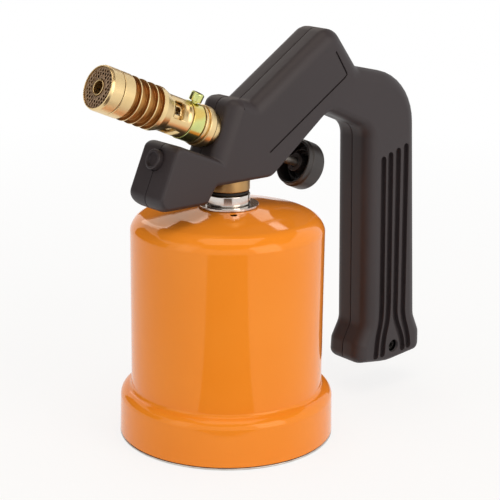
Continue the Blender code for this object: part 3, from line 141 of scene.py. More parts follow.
def placed(name, shape, crisp=38):
    """Makes the bmesh an object of the scene, smooth but for edges sharper than the angle."""
    mesh = bpy.data.meshes.new(name)
    shape.to_mesh(mesh)
    shape.free()
    mesh.shade_smooth()
    mesh.set_sharp_from_angle(angle=math.radians(crisp))
    thing = bpy.data.objects.new(name, mesh)
    bpy.context.scene.collection.objects.link(thing)
    return thing


def finished(name, shape, material, body, slot, *nodes, crisp=38):
    """Makes the bmesh a piece that rides on a body and may stand for CAD nodes."""
    piece = placed(name, shape, crisp)
    piece.data.materials.append(material)
    weighted = piece.modifiers.new("even shading", "WEIGHTED_NORMAL")
    weighted.keep_sharp = True
    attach(piece, body)
    if nodes:
        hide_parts(*nodes)
    return piece


def spun(corners, segments=96, place=None, closed=True):
    """A turned shape: the outline in millimetres, spun round the local Z axis and placed."""
    outline = [point * MM for point in rounded(corners)]
    shape = bmesh.new()
    rim = [shape.verts.new((point.x, 0, point.y)) for point in outline]
    line = [shape.edges.new(pair) for pair in zip(rim, rim[1:])]
    if closed:
        line.append(shape.edges.new((rim[-1], rim[0])))
    bmesh.ops.spin(
        shape, geom=rim + line, cent=(0, 0, 0), axis=(0, 0, 1), angle=math.tau,
        steps=segments, use_merge=True)
    bmesh.ops.remove_doubles(shape, verts=shape.verts, dist=0.0005 * MM)
    bmesh.ops.dissolve_degenerate(shape, edges=shape.edges, dist=0.0005 * MM)
    bmesh.ops.recalc_face_normals(shape, faces=shape.faces)
    if place is not None:
        bmesh.ops.transform(shape, matrix=place, verts=shape.verts)
    return shape


def cut_away(piece, cutter, crossing=False):
    """Takes the cutter's shape out of the piece for good. A crossing cutter's parts overlap."""
    tool = placed("cutter", cutter)
    boolean = piece.modifiers.new("cut", "BOOLEAN")
    boolean.operation = "DIFFERENCE"
    boolean.solver = "EXACT"
    boolean.use_self = crossing
    boolean.object = tool
    piece.modifiers.move(len(piece.modifiers) - 1, 0)
    weighted = piece.modifiers[-1]
    weighted.show_viewport = False
    evaluated = piece.evaluated_get(bpy.context.evaluated_depsgraph_get())
    result = bpy.data.meshes.new_from_object(evaluated)
    weighted.show_viewport = True
    piece.modifiers.remove(boolean)
    piece.data = result
    bpy.data.objects.remove(tool)


def bore(shape, radius, low, high, place, segments=64):
    """Adds a round cutter along the local Z axis of a place."""
    middle = Matrix.Translation((0, 0, (low + high) / 2 * MM))
    bmesh.ops.create_cone(
        shape, cap_ends=True, segments=segments, radius1=radius * MM, radius2=radius * MM,
        depth=(high - low) * MM, matrix=place @ middle)


SHELL_WALL = 0.8
BODY_RADIUS = 48.0
SKIRT_RADIUS = 53.4
NECK_SEAT_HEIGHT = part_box("holder_shell")[1][2] / MM
shell_corners = (
    (9.95, NECK_SEAT_HEIGHT, 0),
    (15.2, NECK_SEAT_HEIGHT, 8),
    (30.0, NECK_SEAT_HEIGHT - 2.2, 60),
    (45.2, 112.0, 9),
    (BODY_RADIUS, 106.0, 6),
    (BODY_RADIUS, 25.0, 2.2),
    (SKIRT_RADIUS, 23.2, 5.4),
    (SKIRT_RADIUS + 0.5, 1.3, 0.3),
    (SKIRT_RADIUS - 0.3, 1.3, 0.3),
    (SKIRT_RADIUS - 0.8, 22.4, 4.6),
    (BODY_RADIUS - 0.8, 24.2, 3.0),
    (BODY_RADIUS - 0.8, 106.0, 5.2),
    (44.8, 111.4, 8),
    (29.8, NECK_SEAT_HEIGHT - 3.0, 60),
    (15.2, NECK_SEAT_HEIGHT - SHELL_WALL, 8),
    (9.95, NECK_SEAT_HEIGHT - SHELL_WALL, 0),
)
holder = finished(
    "holder_can", spun(shell_corners, 180), enamel, "holder", "orange_enamel", "holder_shell")

# The vent hole in the dome, punched through and enamelled with the rest
VENT_RADIUS = 1.8
VENT_PLACE = Matrix.Translation((-8.95 * MM, -15.5 * MM, 0))
vent = bmesh.new()
bore(vent, VENT_RADIUS, 106.0, 126.0, VENT_PLACE, 32)
cut_away(holder, vent)

# Three bayonet pegs, riveted inside the skirt
PEG_HEIGHT = 7.5
PEG_RADIUS = 52.9
PEG_ANGLES = [math.radians(degrees) for degrees in (5, 125, 245)]
peg_seat = (
    Matrix.Translation((PEG_RADIUS * MM, 0, PEG_HEIGHT * MM)) @ Matrix.Rotation(-math.pi / 2, 4, "Y"))
peg_corners = ((0, 0, 0), (1.5, 0, 0), (1.5, 2.6, 0.4), (0, 2.6, 0))
for index, angle in enumerate(PEG_ANGLES):
    peg_place = Matrix.Rotation(angle, 4, "Z") @ peg_seat
    finished(
        f"bayonet_peg_{index + 1}", spun(peg_corners, 24, peg_place, closed=False), enamel,
        "holder", "orange_enamel")

# Base plate
# A pressed steel disc, zinc plated, with a spot-welded ring that takes the bayonet pegs.
# It closes the holder from below and twists off to change the cartridge.

# Zinc plate on steel: pale grey, with soft crystal patches of a few millimetres
zinc_steel, shader = new_finish("zinc plated steel", Metallic=1.0, Roughness=0.38)
place = add_node(zinc_steel, "TexCoord").outputs["Object"]
spangle = add_node(zinc_steel, "TexVoronoi", {"Vector": place, "Scale": 220.0})
feed(zinc_steel, shader,
     Base_Color=blended(zinc_steel, spangle.outputs["Distance"], "#B9B4AE", "#D2CEC8"))

base_corners = (
    (0, 0.6, 0),
    (14.0, 0.6, 0),
    (15.0, 0, 0),
    (40.0, 0, 0),
    (41.0, 0.5, 0.4),
    (44.0, 0.5, 0.4),
    (45.0, 0, 0),
    (53.9, 0, 0.35),
    (53.9, 1.0, 0.35),
    (0, 1.0, 0),
)
finished("base_disc", spun(base_corners, 160, closed=False), zinc_steel, "base", "galvanised_steel",
         "base_plate")

WALL_OUTER = 51.9
WALL_INNER = 51.1
wall_corners = (
    (WALL_INNER, 0.9, 0), (WALL_OUTER, 0.9, 0), (WALL_OUTER, 13.0, 0.2), (WALL_INNER, 13.0, 0.2))
bayonet_ring = finished(
    "bayonet_ring", spun(wall_corners, 144), zinc_steel, "base", "galvanised_steel")

# Each slot is two cuts: the run that the peg turns along, and the mouth over the run's far end. Each
# has its lower and upper height, its start and sweep in degrees from the peg, and its steps.
SLOT_CUTS = ((5.6, 9.4, -27.3, 29.5, 8), (9.0, 15.0, -26.9, 3.7, 2))
SLOT_DEPTHS = (50, 53)
slots = bmesh.new()
for peg_angle in PEG_ANGLES:
    for low, high, start, sweep, steps in SLOT_CUTS:
        angle = peg_angle + math.radians(start)
        section = [
            slots.verts.new((radius * MM * math.cos(angle), radius * MM * math.sin(angle), z * MM))
            for radius, z in zip(SLOT_DEPTHS + SLOT_DEPTHS[::-1], (low, low, high, high))]
        face = slots.faces.new(section)
        bmesh.ops.spin(
            slots, geom=[face, *face.edges, *face.verts], cent=(0, 0, 0), axis=(0, 0, 1),
            angle=math.radians(sweep), steps=steps)
bmesh.ops.recalc_face_normals(slots, faces=slots.faces)
cut_away(bayonet_ring, slots, crossing=True)

# Gas cartridge
# A thin steel can for 190 g of gas, bare tinned steel, standing on the base plate.
# The needle has pierced its top, so a hole shows there.

# Tinplate: bright rolled steel, with a slow drift of grey
tinplate, shader = new_finish("tinplate", Metallic=1.0, Roughness=0.3)
place = add_node(tinplate, "TexCoord").outputs["Object"]
grain = add_node(tinplate, "TexNoise", {"Vector": place, "Scale": 90.0, "Detail": 3.0})
feed(tinplate, shader, Base_Color=blended(tinplate, grain.outputs["Fac"], "#A9ACAF", "#C6C8CA"))
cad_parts["gas_cartridge"].material_slots[0].material = tinplate

# Neck washer and bush
# Turned steel, bright nickel and chrome plated. The washer lies flat on the dome under the bush's
# head, and the bush is threaded inside for the torch head.

# Chrome plate: mirror bright, with only the faintest turning rings
chrome, shader = new_finish("bright chrome plate", Metallic=1.0, Roughness=0.14,
                            Base_Color=linear("#D8D2CC"))
place = add_node(chrome, "TexCoord").outputs["Object"]
rings = add_node(
    chrome, "TexWave", {"Vector": place, "Scale": 300.0, "Distortion": 0.5},
    bands_direction="Z")
skin = add_node(
    chrome, "Bump", {"Strength": 0.03, "Distance": 0.02 * MM, "Height": rings.outputs["Fac"]})
feed(chrome, shader, Normal=skin.outputs["Normal"])

WASHER_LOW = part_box("neck_washer")[0][2] / MM
washer_corners = (
    (9.95, WASHER_LOW, 0),
    (15.2, WASHER_LOW, 0.1),
    (15.2, WASHER_LOW + 1.0, 0.15),
    (9.95, WASHER_LOW + 1.0, 0),
)
finished("neck_washer_plated", spun(washer_corners, 128), chrome, "holder", "chrome_plate",
         "neck_washer")

BUSH_LOW, BUSH_TOP = (corner[2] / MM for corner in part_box("neck_bush"))
BUSH_HEAD = WASHER_LOW + 1.3
bush_corners = (
    (8.25, BUSH_LOW, 0.3),
    (9.6, BUSH_LOW, 0.3),
    (9.6, BUSH_LOW + 7.0, 0),
    (12.0, BUSH_LOW + 7.0, 0.3),
    (12.0, BUSH_LOW + 9.0, 0.3),
    (9.6, BUSH_LOW + 9.0, 0),
    (9.6, BUSH_HEAD, 0),
    (11.0, BUSH_HEAD, 0.3),
    (11.0, BUSH_TOP, 0.5),
    (8.25, BUSH_TOP, 0.5),
)
finished("neck_bush_plated", spun(bush_corners, 128), chrome, "holder", "chrome_plate", "neck_bush")

# Neck seal
# A moulded nitrile ring, pressed between the bush and the valve's collar. It rises with the torch
# head, and keeps gas from leaking past the neck's thread.

# Black rubber: dull, with a fine talc bloom
rubber, shader = new_finish("black nitrile rubber", Roughness=0.75)
place = add_node(rubber, "TexCoord").outputs["Object"]
bloom = add_node(rubber, "TexNoise", {"Vector": place, "Scale": 900.0, "Detail": 2.0})
feed(rubber, shader, Base_Color=blended(rubber, bloom.outputs["Fac"], "#141312", "#262422"))
SEAL_LOW, SEAL_TOP = (corner[2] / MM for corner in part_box("neck_seal"))
seal_corners = (
    (8.25, SEAL_LOW, 0), (10.4, SEAL_LOW, 0.5), (10.4, SEAL_TOP, 0.5), (8.25, SEAL_TOP, 0))
finished("neck_seal_ring", spun(seal_corners, 96), rubber, "seal", "black_rubber", "neck_seal")
for hidden_rubber in ("stem_gasket", "gland_o_ring"):
    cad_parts[hidden_rubber].material_slots[0].material = rubber

# Valve body
# A brass forging with a turned collar below and an inclined barrel, through which the gas flows.
# Only the collar shows under the case. It is older and darker than the burner.

TILT = math.radians(22.8)
VALVE_HEIGHT = 151.0235
BURNER_FRAME = (
    Matrix.Translation((0, 0, VALVE_HEIGHT * MM)) @ Matrix.Rotation(TILT - math.pi / 2, 4, "Y"))


def brass_finish(name, dark, pale, roughness, ring_scale):
    """Turned brass: rings from the tool along its own axis, and a slow change of tone."""
    material, shader = new_finish(name, Metallic=1.0, Roughness=roughness)
    place = add_node(material, "TexCoord").outputs["Object"]
    aligned = add_node(
        material, "Mapping", {"Vector": place, "Rotation": (0, math.pi / 2 - TILT, 0)})
    rings = add_node(
        material, "TexWave",
        {"Vector": aligned.outputs["Vector"], "Scale": ring_scale, "Distortion": 1.2,
         "Detail": 2.0, "Detail Scale": 3.0},
        bands_direction="Z")
    cloud = add_node(material, "TexNoise", {"Vector": place, "Scale": 120.0, "Detail": 4.0})
    skin = add_node(
        material, "Bump",
        {"Strength": 0.12, "Distance": 0.03 * MM, "Height": rings.outputs["Fac"]})
    feed(material, shader, Base_Color=blended(material, cloud.outputs["Fac"], dark, pale),
         Normal=skin.outputs["Normal"])
    return material


# Aged brass: browner, with the tone of handled stock
aged_brass = brass_finish("aged brass", "#9C7A4C", "#C4A06C", 0.36, 700.0)

COLLAR_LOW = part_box("valve_body")[0][2] / MM
column_corners = (
    (6.4, COLLAR_LOW, 0.3),
    (10.75, COLLAR_LOW, 0.5),
    (10.75, COLLAR_LOW + 7.0, 0.4),
    (8.8, COLLAR_LOW + 7.0, 0),
    (8.8, COLLAR_LOW + 24.2, 0.5),
    (0, COLLAR_LOW + 24.2, 0),
    (0, COLLAR_LOW + 9.0, 0),
    (6.4, COLLAR_LOW + 9.0, 0),
)
finished("valve_column", spun(column_corners, 96, closed=False), aged_brass, "head",
         "turned_brass", "valve_body")
barrel_corners = (
    (3.75, 9.6, 0.2),
    (3.75, 3.6, 0),
    (0, 3.6, 0),
    (0, -4.0, 0),
    (5.0, -4.0, 0),
    (5.0, -15.0, 0.2),
    (8.5, -15.0, 0.6),
    (8.5, 9.6, 0.6),
)
finished("valve_barrel", spun(barrel_corners, 72, BURNER_FRAME), aged_brass, "head", "turned_brass")
for hidden_brass in ("inlet_stem", "gland_nut", "jet_holder"):
    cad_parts[hidden_brass].material_slots[0].material = aged_brass
for hidden_steel in ("piercing_needle", "jet_nozzle"):
    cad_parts[hidden_steel].material_slots[0].material = zinc_steel

# Burner union
# Turned from brass bar: flange against the case, a groove, and a lip behind the clamp ring.
# It screws into the valve's barrel and carries the air tube.

# Fresh turned brass: pale and satin, with reddish depth where surfaces face each other
turned_brass = brass_finish("turned brass", "#E3C287", "#F0D8A6", 0.32, 560.0)
# The same, darker and browner, as painted shade for the grooves, where the fins shade each other
groove_shade_brass = brass_finish("brass with painted groove shade", "#9A6A38", "#BC8B50", 0.38, 560.0)

union_corners = (
    (3.75, 9.9, 0),
    (8.4, 9.9, 0.3),
    (8.4, 16.3, 0),
    (9.4, 16.3, 0.5),
    (10.2, 17.3, 0.8),
    (10.2, 20.9, 0.5),
    (9.1, 20.9, 0),
    (9.1, 21.8, 0),
    (9.7, 21.8, 0.3),
    (9.7, 23.3, 0.4),
    (6.2, 23.3, 0),
    (6.2, 29.3, 0.3),
    (3.75, 29.3, 0),
)
finished("burner_union_turned", spun(union_corners, 128, BURNER_FRAME), turned_brass, "head",
         "turned_brass", "burner_union")

# Inner air tube
# Thin drawn brass tube pressed on the union, with four punched holes that the burner's windows
# open or close.


def windows(length, width, station, outer, inner, angle, corner):
    """Four rounded-corner cutters, square to the burner axis."""
    shape = bmesh.new()
    for index in range(4):
        block = bmesh.ops.create_cube(shape, size=1)["verts"]
        size = Matrix.Diagonal(((outer - inner) * MM, width * MM, length * MM, 1))
        bmesh.ops.transform(shape, matrix=size, verts=block)
        inside = set(block)
        edges = [
            edge for edge in shape.edges
            if edge.verts[0] in inside
            and abs(edge.verts[0].co.x - edge.verts[1].co.x) > (outer - inner) * MM / 2]
        rounding = bmesh.ops.bevel(
            shape, geom=edges, offset=corner * MM, offset_type="OFFSET", segments=4,
            profile=0.5, affect="EDGES", material=-1)
        verts = {vert for face in rounding["faces"] for vert in face.verts} | {
            vert for vert in block if vert.is_valid}
        seat = (
            Matrix.Rotation(math.radians(angle + 90 * index), 4, "Z")
            @ Matrix.Translation(((outer + inner) / 2 * MM, 0, station * MM)))
        bmesh.ops.transform(shape, matrix=BURNER_FRAME @ seat, verts=list(verts))
    bmesh.ops.recalc_face_normals(shape, faces=shape.faces)
    return shape


WINDOW_STATION = 39.9
WINDOW_ANGLE = -71
tube_corners = ((6.5, 23.6, 0), (7.3, 23.6, 0.2), (7.3, 46.0, 0.2), (6.5, 46.0, 0.2))
air_tube = finished("air_tube_drawn", spun(tube_corners, 96, BURNER_FRAME), turned_brass, "head",
                    "turned_brass", "air_tube")
cut_away(air_tube, windows(4.2, 4.0, WINDOW_STATION, 10, 3, WINDOW_ANGLE, 0.5))

# Burner barrel
# One turning: a sleeve over the air tube with four milled air windows, a cone, three cooling fins
# and a spigot for the cap. It turns on the tube to set the air.
CAP_SEAT = 74.5
LAND_TOP = CAP_SEAT - 0.3
LAND_FOOT = LAND_TOP - 6.1
FIN_RADIUS = 10.7
FIN_PITCH = 4.93
FIN_HALF = 0.32
GROOVE_ROOT = 8.9
SLEEVE_RADIUS = 9.1
barrel_profile = [
    (7.6, LAND_TOP + 4.9, 0),
    (8.2, LAND_TOP + 4.9, 0.2),
    (8.2, LAND_TOP, 0),
    (FIN_RADIUS, LAND_TOP, 0.3),
    (FIN_RADIUS, LAND_FOOT, 0.25),
]
for index in range(3):
    fin = LAND_FOOT + 1.4 - FIN_PITCH * (index + 1)
    barrel_profile += [
        (GROOVE_ROOT, fin + (3.4 if index == 0 else 4.5), 0.2),
        (GROOVE_ROOT, fin + 0.4, 0.2),
        (FIN_RADIUS, fin + FIN_HALF, 0.1),
        (FIN_RADIUS, fin - FIN_HALF, 0.1),
    ]
barrel_profile += [
    (GROOVE_ROOT, fin - 0.4, 0.2),
    (GROOVE_ROOT, fin - 3.85, 0.2),
    (FIN_RADIUS, fin - 3.95, 0.15),
    (FIN_RADIUS, fin - 6.3, 0.8),
    (SLEEVE_RADIUS, fin - 10.9, 1.5),
    (SLEEVE_RADIUS, 31.3, 0.25),
    (8.4, 31.3, 0),
    (8.4, 23.6, 0.2),
    (7.65, 23.6, 0.2),
    (7.65, fin - 6.3, 0),
    (7.6, fin - 4.0, 0),
]
barrel = finished("burner_barrel_turned", spun(barrel_profile, 128, BURNER_FRAME), turned_brass,
                  "burner", "turned_brass", "burner_barrel")
cut_away(barrel, windows(5.4, 8.6, WINDOW_STATION, 13, 4, WINDOW_ANGLE, 0.5))

# The painted shade lies ahead of this station, in the grooves but not on the fins' crests
GROOVE_SHADE_STATION = 50.2
GROOVE_SHADE_RADII = (8.5, 10.35)
barrel.data.materials.append(groove_shade_brass)
to_burner = BURNER_FRAME.inverted()
for face in barrel.data.polygons:
    spot = to_burner @ face.center / MM
    if spot.z > GROOVE_SHADE_STATION and GROOVE_SHADE_RADII[0] < spot.xy.length < GROOVE_SHADE_RADII[1]:
        face.material_index = 1

# Burner cap, flame mesh and pilot tube
# The cap is turned brass with a rolled lip that holds a perforated steel disc, browned by heat,
# round the brass pilot tube.
cap_corners = (
    (8.5, CAP_SEAT, 0),
    (FIN_RADIUS, CAP_SEAT, 0.3),
    (FIN_RADIUS, 80.5, 1.6),
    (10.25, 81.75, 0.4),
    (9.75, 81.95, 0.15),
    (9.75, 80.1, 0),
    (8.5, 80.1, 0),
)
finished("burner_cap_turned", spun(cap_corners, 128, BURNER_FRAME), turned_brass, "burner",
         "turned_brass", "burner_cap")

# Heat-tinted steel: dull brown, clouded with scale
scaled_steel, shader = new_finish("heat tinted steel", Metallic=0.8, Roughness=0.5)
place = add_node(scaled_steel, "TexCoord").outputs["Object"]
scale = add_node(scaled_steel, "TexNoise", {"Vector": place, "Scale": 400.0, "Detail": 3.0})
feed(scaled_steel, shader,
     Base_Color=blended(scaled_steel, scale.outputs["Fac"], "#927860", "#B69C80"))

MESH_LOW = 80.4
disc_corners = ((4.1, MESH_LOW, 0), (9.6, MESH_LOW, 0), (9.6, MESH_LOW + 0.8, 0.1),
                (4.1, MESH_LOW + 0.8, 0.1))
flame_mesh = finished("flame_mesh_punched", spun(disc_corners, 96, BURNER_FRAME), scaled_steel,
                      "burner", "flame_steel", "flame_mesh")

# Staggered rows of round holes. The real ones are too fine to count in the picture, so these are
# drawn coarser and fewer.
HOLE_PITCH = 1.85
HOLE_RADIUS = 0.78
HOLE_RING = (4.95, 8.75)
ROWS = range(-8, 9)
holes = bmesh.new()
for row in ROWS:
    for column in ROWS:
        across = (column + row % 2 / 2) * HOLE_PITCH
        along = row * HOLE_PITCH * math.sqrt(0.75)
        if HOLE_RING[0] < math.hypot(across, along) < HOLE_RING[1]:
            hole_place = BURNER_FRAME @ Matrix.Translation((along * MM, across * MM, 0))
            bore(holes, HOLE_RADIUS, MESH_LOW - 1.1, MESH_LOW + 1.9, hole_place, 10)
cut_away(flame_mesh, holes)

pilot_corners = ((3.1, 66.1, 0), (3.8, 66.1, 0), (3.8, 81.7, 0.25), (3.1, 81.7, 0.25))
finished("pilot_tube_turned", spun(pilot_corners, 72, BURNER_FRAME), turned_brass, "burner",
         "turned_brass", "pilot_tube")

# Clamp ring and thumb screw
# Turned steel, plated in yellow passivated zinc. The ring pinches the burner on the air tube, and
# the small screw through it is set by finger.

# Yellow passivated zinc: bright, with green and gold interference colours in bands
passivate, shader = new_finish("yellow passivated zinc", Metallic=1.0, Roughness=0.2)
place = add_node(passivate, "TexCoord").outputs["Object"]
drift = add_node(passivate, "TexNoise", {"Vector": place, "Scale": 90.0, "Detail": 1.0})
tint = add_node(passivate, "ValToRGB", {"Fac": drift.outputs["Fac"]})
tint.color_ramp.elements[0].position = 0.35
tint.color_ramp.elements[0].color = linear("#C9D28A")
tint.color_ramp.elements[1].position = 0.68
tint.color_ramp.elements[1].color = linear("#E3C46C")
middle = tint.color_ramp.elements.new(0.5)
middle.color = linear("#D9DC8C")
feed(passivate, shader, Base_Color=tint.outputs["Color"])

ring_corners = ((8.75, 23.9, 0), (9.5, 23.9, 0.4), (9.5, 31.0, 0.4), (8.75, 31.0, 0))
clamp_ring = finished("clamp_ring_turned", spun(ring_corners, 128, BURNER_FRAME), passivate,
                      "burner", "yellow_zinc_plate", "clamp_ring")
SCREW_STATION = 28.3
SCREW_ANGLE = math.radians(-12)
SCREW_FRAME = (
    BURNER_FRAME @ Matrix.Translation((0, 0, SCREW_STATION * MM))
    @ Matrix.Rotation(SCREW_ANGLE, 4, "Z") @ Matrix.Rotation(math.pi / 2, 4, "Y"))
drill = bmesh.new()
bore(drill, 1.85, 6.5, 12.0, SCREW_FRAME, 32)
cut_away(clamp_ring, drill)
screw_corners = (
    (0, 7.6, 0),
    (1.5, 7.6, 0.3),
    (1.5, 10.1, 0),
    (3.2, 10.1, 0.35),
    (3.2, 14.5, 0.9),
    (0, 14.3, 0),
)
finished("thumb_screw_turned", spun(screw_corners, 64, SCREW_FRAME, closed=False), passivate,
         "thumb_screw", "yellow_zinc_plate", "thumb_screw")

# Case halves
# Two mouldings in glass-filled nylon, charcoal, with a fine spark-eroded texture. They meet on
# the middle plane, clamp the valve between them, and are screwed together from both sides.

# Moulded nylon: a warm charcoal with a 0.5 mm grain, and a little smoother in patches from handling
nylon, shader = new_finish("textured charcoal nylon", Roughness=0.5, Specular_IOR_Level=0.4)
place = add_node(nylon, "TexCoord").outputs["Object"]
grain = add_node(nylon, "TexNoise", {"Vector": place, "Scale": 1900.0, "Detail": 2.0})
wear = add_node(nylon, "TexNoise", {"Vector": place, "Scale": 26.0, "Detail": 3.0})
skin = add_node(
    nylon, "Bump", {"Strength": 0.22, "Distance": 0.06 * MM, "Height": grain.outputs["Fac"]})
sheen = add_node(
    nylon, "MapRange", {"Value": wear.outputs["Fac"], "To Min": 0.46, "To Max": 0.56})
feed(nylon, shader, Base_Color=blended(nylon, wear.outputs["Fac"], "#2D2628", "#373033"),
     Normal=skin.outputs["Normal"], Roughness=sheen.outputs["Result"])

FLOOR_HEIGHT = COLLAR_LOW + 5.3
NOSE_BOTTOM = FLOOR_HEIGHT - 8.7


def burner_point(station, height):
    """A point of the middle plane in millimetres, given along and across the burner axis."""
    across = -math.cos(TILT) * station + math.sin(TILT) * height
    along = VALVE_HEIGHT + math.sin(TILT) * station + math.cos(TILT) * height
    return across, along


FLANGE_STATION = 13.6
FLANGE_RISE = 15.9
NOSE_STATION = 37.5
NOSE_DROP = 12.9
nose_top = burner_point(NOSE_STATION, -NOSE_DROP)
nose_foot = nose_top[0] - (nose_top[1] - NOSE_BOTTOM) * math.tan(TILT)
# The outline, anticlockwise from the nose's lower corner: across, along and radius, and for the edge
# that follows, how deep its rounding is against the usual and how late it sets in
case_outline = (
    (nose_foot, NOSE_BOTTOM, 5.8, 0.45, 1),
    (-22.5, NOSE_BOTTOM, 2.5, 0.4, 2),
    (-16.7, FLOOR_HEIGHT, 2.5, 0.4, 2),
    (18.0, FLOOR_HEIGHT, 7.7, 0.4, 2),
    (54.2, 159.1, 8.0, 0.7, 1),
    (82.8, 147.2, 9.0, 1.0, 1),
    (86.1, 38.5, 8.0, 1.0, 1),
    (80.9, 29.0, 7.0, 1.0, 1),
    (80.3, 18.2, 5.0, 0.5, 1),
    (103.0, 14.8, 30.0, 0.5, 1),
    (129.7, 17.4, 5.5, 1.0, 1),
    (129.3, 29.0, 8.0, 1.0, 1),
    (124.9, 38.5, 10.0, 1.1, 1),
    (116.4, 170.8, 31.0, 1.1, 1),
    (75.2, 179.7, 5.0, 1.1, 1),
    (57.2, 203.04, 9.0, 1.2, 1),
    (6.4, 168.7, 3.0, 0.9, 1),
    (0.0, 170.9, 3.0, 0.9, 1),
    (*burner_point(FLANGE_STATION, FLANGE_RISE), 5.5, 1.3, 1),
    (*burner_point(FLANGE_STATION, -NOSE_DROP), 1.0, 0.4, 2),
    (*nose_top, 4.2, 0.23, 3),
)
HALF_THICKNESS = 13.0
EDGE_ROUND = 6.5
CASE_WALL = 2.6
FACE_WALL = 3.4
PARTING = 0.15
PARTING_EASE = 0.25
ARC_STEPS = 8


def moved_in(steps):
    """The case outline, with each edge moved inward by its own distance."""
    moved = []
    for index, (across, along, radius, *_) in enumerate(case_outline):
        here = Vector((across, along))
        before = (here - Vector(case_outline[index - 1][:2])).normalized()
        after = (Vector(case_outline[(index + 1) % len(case_outline)][:2]) - here).normalized()
        first = Vector((-before.y, before.x))
        second = Vector((-after.y, after.x))
        spread = first.cross(second)
        if abs(spread) < 0.02:
            place = here + first * steps[index - 1]
        else:
            place = here + Vector((
                steps[index - 1] * second.y - steps[index] * first.y,
                steps[index] * first.x - steps[index - 1] * second.x)) / spread
        distance = (steps[index - 1] + steps[index]) / 2
        turn = before.cross(after)
        change = -distance if turn > 0 else (distance if radius > distance else 0)
        moved.append((place.x, place.y, max(radius + change, radius * 0.15)))
    return rounded(moved, math.radians(9))


def half_case(side):
    """One hollow half: rounded outside, a pocket inside, and a lip at the parting plane."""
    count = len(case_outline)
    pocket = moved_in([CASE_WALL] * count)
    levels = [(pocket, HALF_THICKNESS - FACE_WALL), (pocket, PARTING)]
    levels.append((moved_in([PARTING_EASE] * count), PARTING))
    levels.append((moved_in([0] * count), PARTING + PARTING_EASE))
    for step in range(ARC_STEPS + 1):
        angle = math.pi / 2 * step / ARC_STEPS
        outline = moved_in([
            EDGE_ROUND * depth * (1 - math.cos(angle)) ** delay
            for *_, depth, delay in case_outline])
        levels.append((outline, HALF_THICKNESS - EDGE_ROUND * (1 - math.sin(angle))))
    shape = bmesh.new()
    loops = []
    for outline, depth in levels:
        ring = [shape.verts.new((point.x * MM, side * depth * MM, point.y * MM)) for point in outline]
        loops.append([
            shape.edges.new((ring[index - 1], ring[index])) for index in range(len(ring))])
    for first, second in zip(loops, loops[1:]):
        bmesh.ops.bridge_loops(shape, edges=first + second)
    bmesh.ops.contextual_create(shape, geom=loops[0])
    bmesh.ops.contextual_create(shape, geom=loops[-1])
    bmesh.ops.recalc_face_normals(shape, faces=shape.faces)
    return shape


def ribbon(points, width):
    """The outline of a groove of even width along a line, with round ends."""
    left = []
    right = []
    for index, point in enumerate(points):
        heading = points[min(index + 1, len(points) - 1)] - points[max(index - 1, 0)]
        side = Vector((-heading.y, heading.x)).normalized() * width / 2
        left.append(point + side)
        right.append(point - side)
    start = (points[0] - points[1]).normalized() * width / 2
    end = (points[-1] - points[-2]).normalized() * width / 2
    quarter = math.sqrt(0.5)
    return (
        [points[0] + start]
        + [points[0] + (start + right[0] - points[0]) * quarter] + right
        + [points[-1] + (end + right[-1] - points[-1]) * quarter]
        + [points[-1] + end]
        + [points[-1] + (end + left[-1] - points[-1]) * quarter] + left[::-1]
        + [points[0] + (start + left[0] - points[0]) * quarter])


def softened(points, rounds=3):
    """The line with its inner corners cut, each time by a quarter of both sides."""
    for _ in range(rounds):
        softer = [points[0]]
        for first, second in zip(points, points[1:]):
            softer += [first.lerp(second, 0.25), first.lerp(second, 0.75)]
        points = softer + [points[-1]]
    return points


def groove(shape, line, width, depth, side):
    """Adds a groove cutter with a tapered bottom and eased top edges."""
    levels = (
        (width * 0.75, depth), (width, depth * 0.75), (width, 0.25), (width + 0.3, 0.0),
        (width + 0.8, -0.5))
    loops = []
    for span, down in levels:
        outline = ribbon(line, span)
        ring = [
            shape.verts.new((point.x * MM, side * (HALF_THICKNESS - down) * MM, point.y * MM))
            for point in outline]
        loops.append([
            shape.edges.new((ring[index - 1], ring[index])) for index in range(len(ring))])
    for first, second in zip(loops, loops[1:]):
        bmesh.ops.bridge_loops(shape, edges=first + second)
    bmesh.ops.contextual_create(shape, geom=loops[0])
    bmesh.ops.contextual_create(shape, geom=loops[-1])


# Lines on the case's faces, as across and along. Four flutes down the grip part round the foot
# screw, and a fine groove frames the arm's panel.
GROOVE_WIDTH = 3.7
GROOVE_DEPTH = 2.7
LINE_WIDTH = 0.8
LINE_DEPTH = 0.9
GRIP_GROOVES = (
    ((94.0, 129.4), (96.6, 50.0), (96.6, 40.0), (94.2, 30.5), (93.6, 20.6)),
    ((99.1, 131.1), (101.7, 50.0), (101.7, 40.0), (99.1, 30.0), (98.6, 20.8)),
    ((104.7, 132.8), (107.0, 50.0), (107.2, 39.5), (112.8, 28.0), (114.0, 21.4)),
    ((110.4, 134.5), (112.8, 50.0), (113.0, 40.0), (117.2, 29.0), (118.4, 22.0)),
)
PANEL_LINE = ((16.1, 143.7), (64.4, 175.5), (65.6, 176.7), (65.3, 177.7), (57.9, 188.7))
PLUG_FRAME = BURNER_FRAME @ Matrix.Translation((-22.2 * MM, 0, NOSE_STATION * MM))
# Each screw's place, and the side that its head is on: -1 for the left half and 1 for the right
CASE_SCREWS = (
    ("foot_screw", (106.7, 24.0), -1),
    ("arm_screw", (50.0, 184.0), 1),
    ("nose_screw", (-30.0, 128.7), 1),
)
# Bores in the halves, as radius, from and to, and place: for the valve's collar, the union, the
# gland and the plug, and at each screw's head and shank
CASE_BORES = (
    (11.1, COLLAR_LOW, COLLAR_LOW + 9.0, Matrix.Identity(4)),
    (8.75, 9.0, 18.3, BURNER_FRAME),
    (6.95, -45.4, -15.0, BURNER_FRAME),
    (5.35, -4.6, 2.0, PLUG_FRAME),
)
SCREW_BORES = ((3.55, 8.5, 15.0), (1.85, 6.5, 9.0))


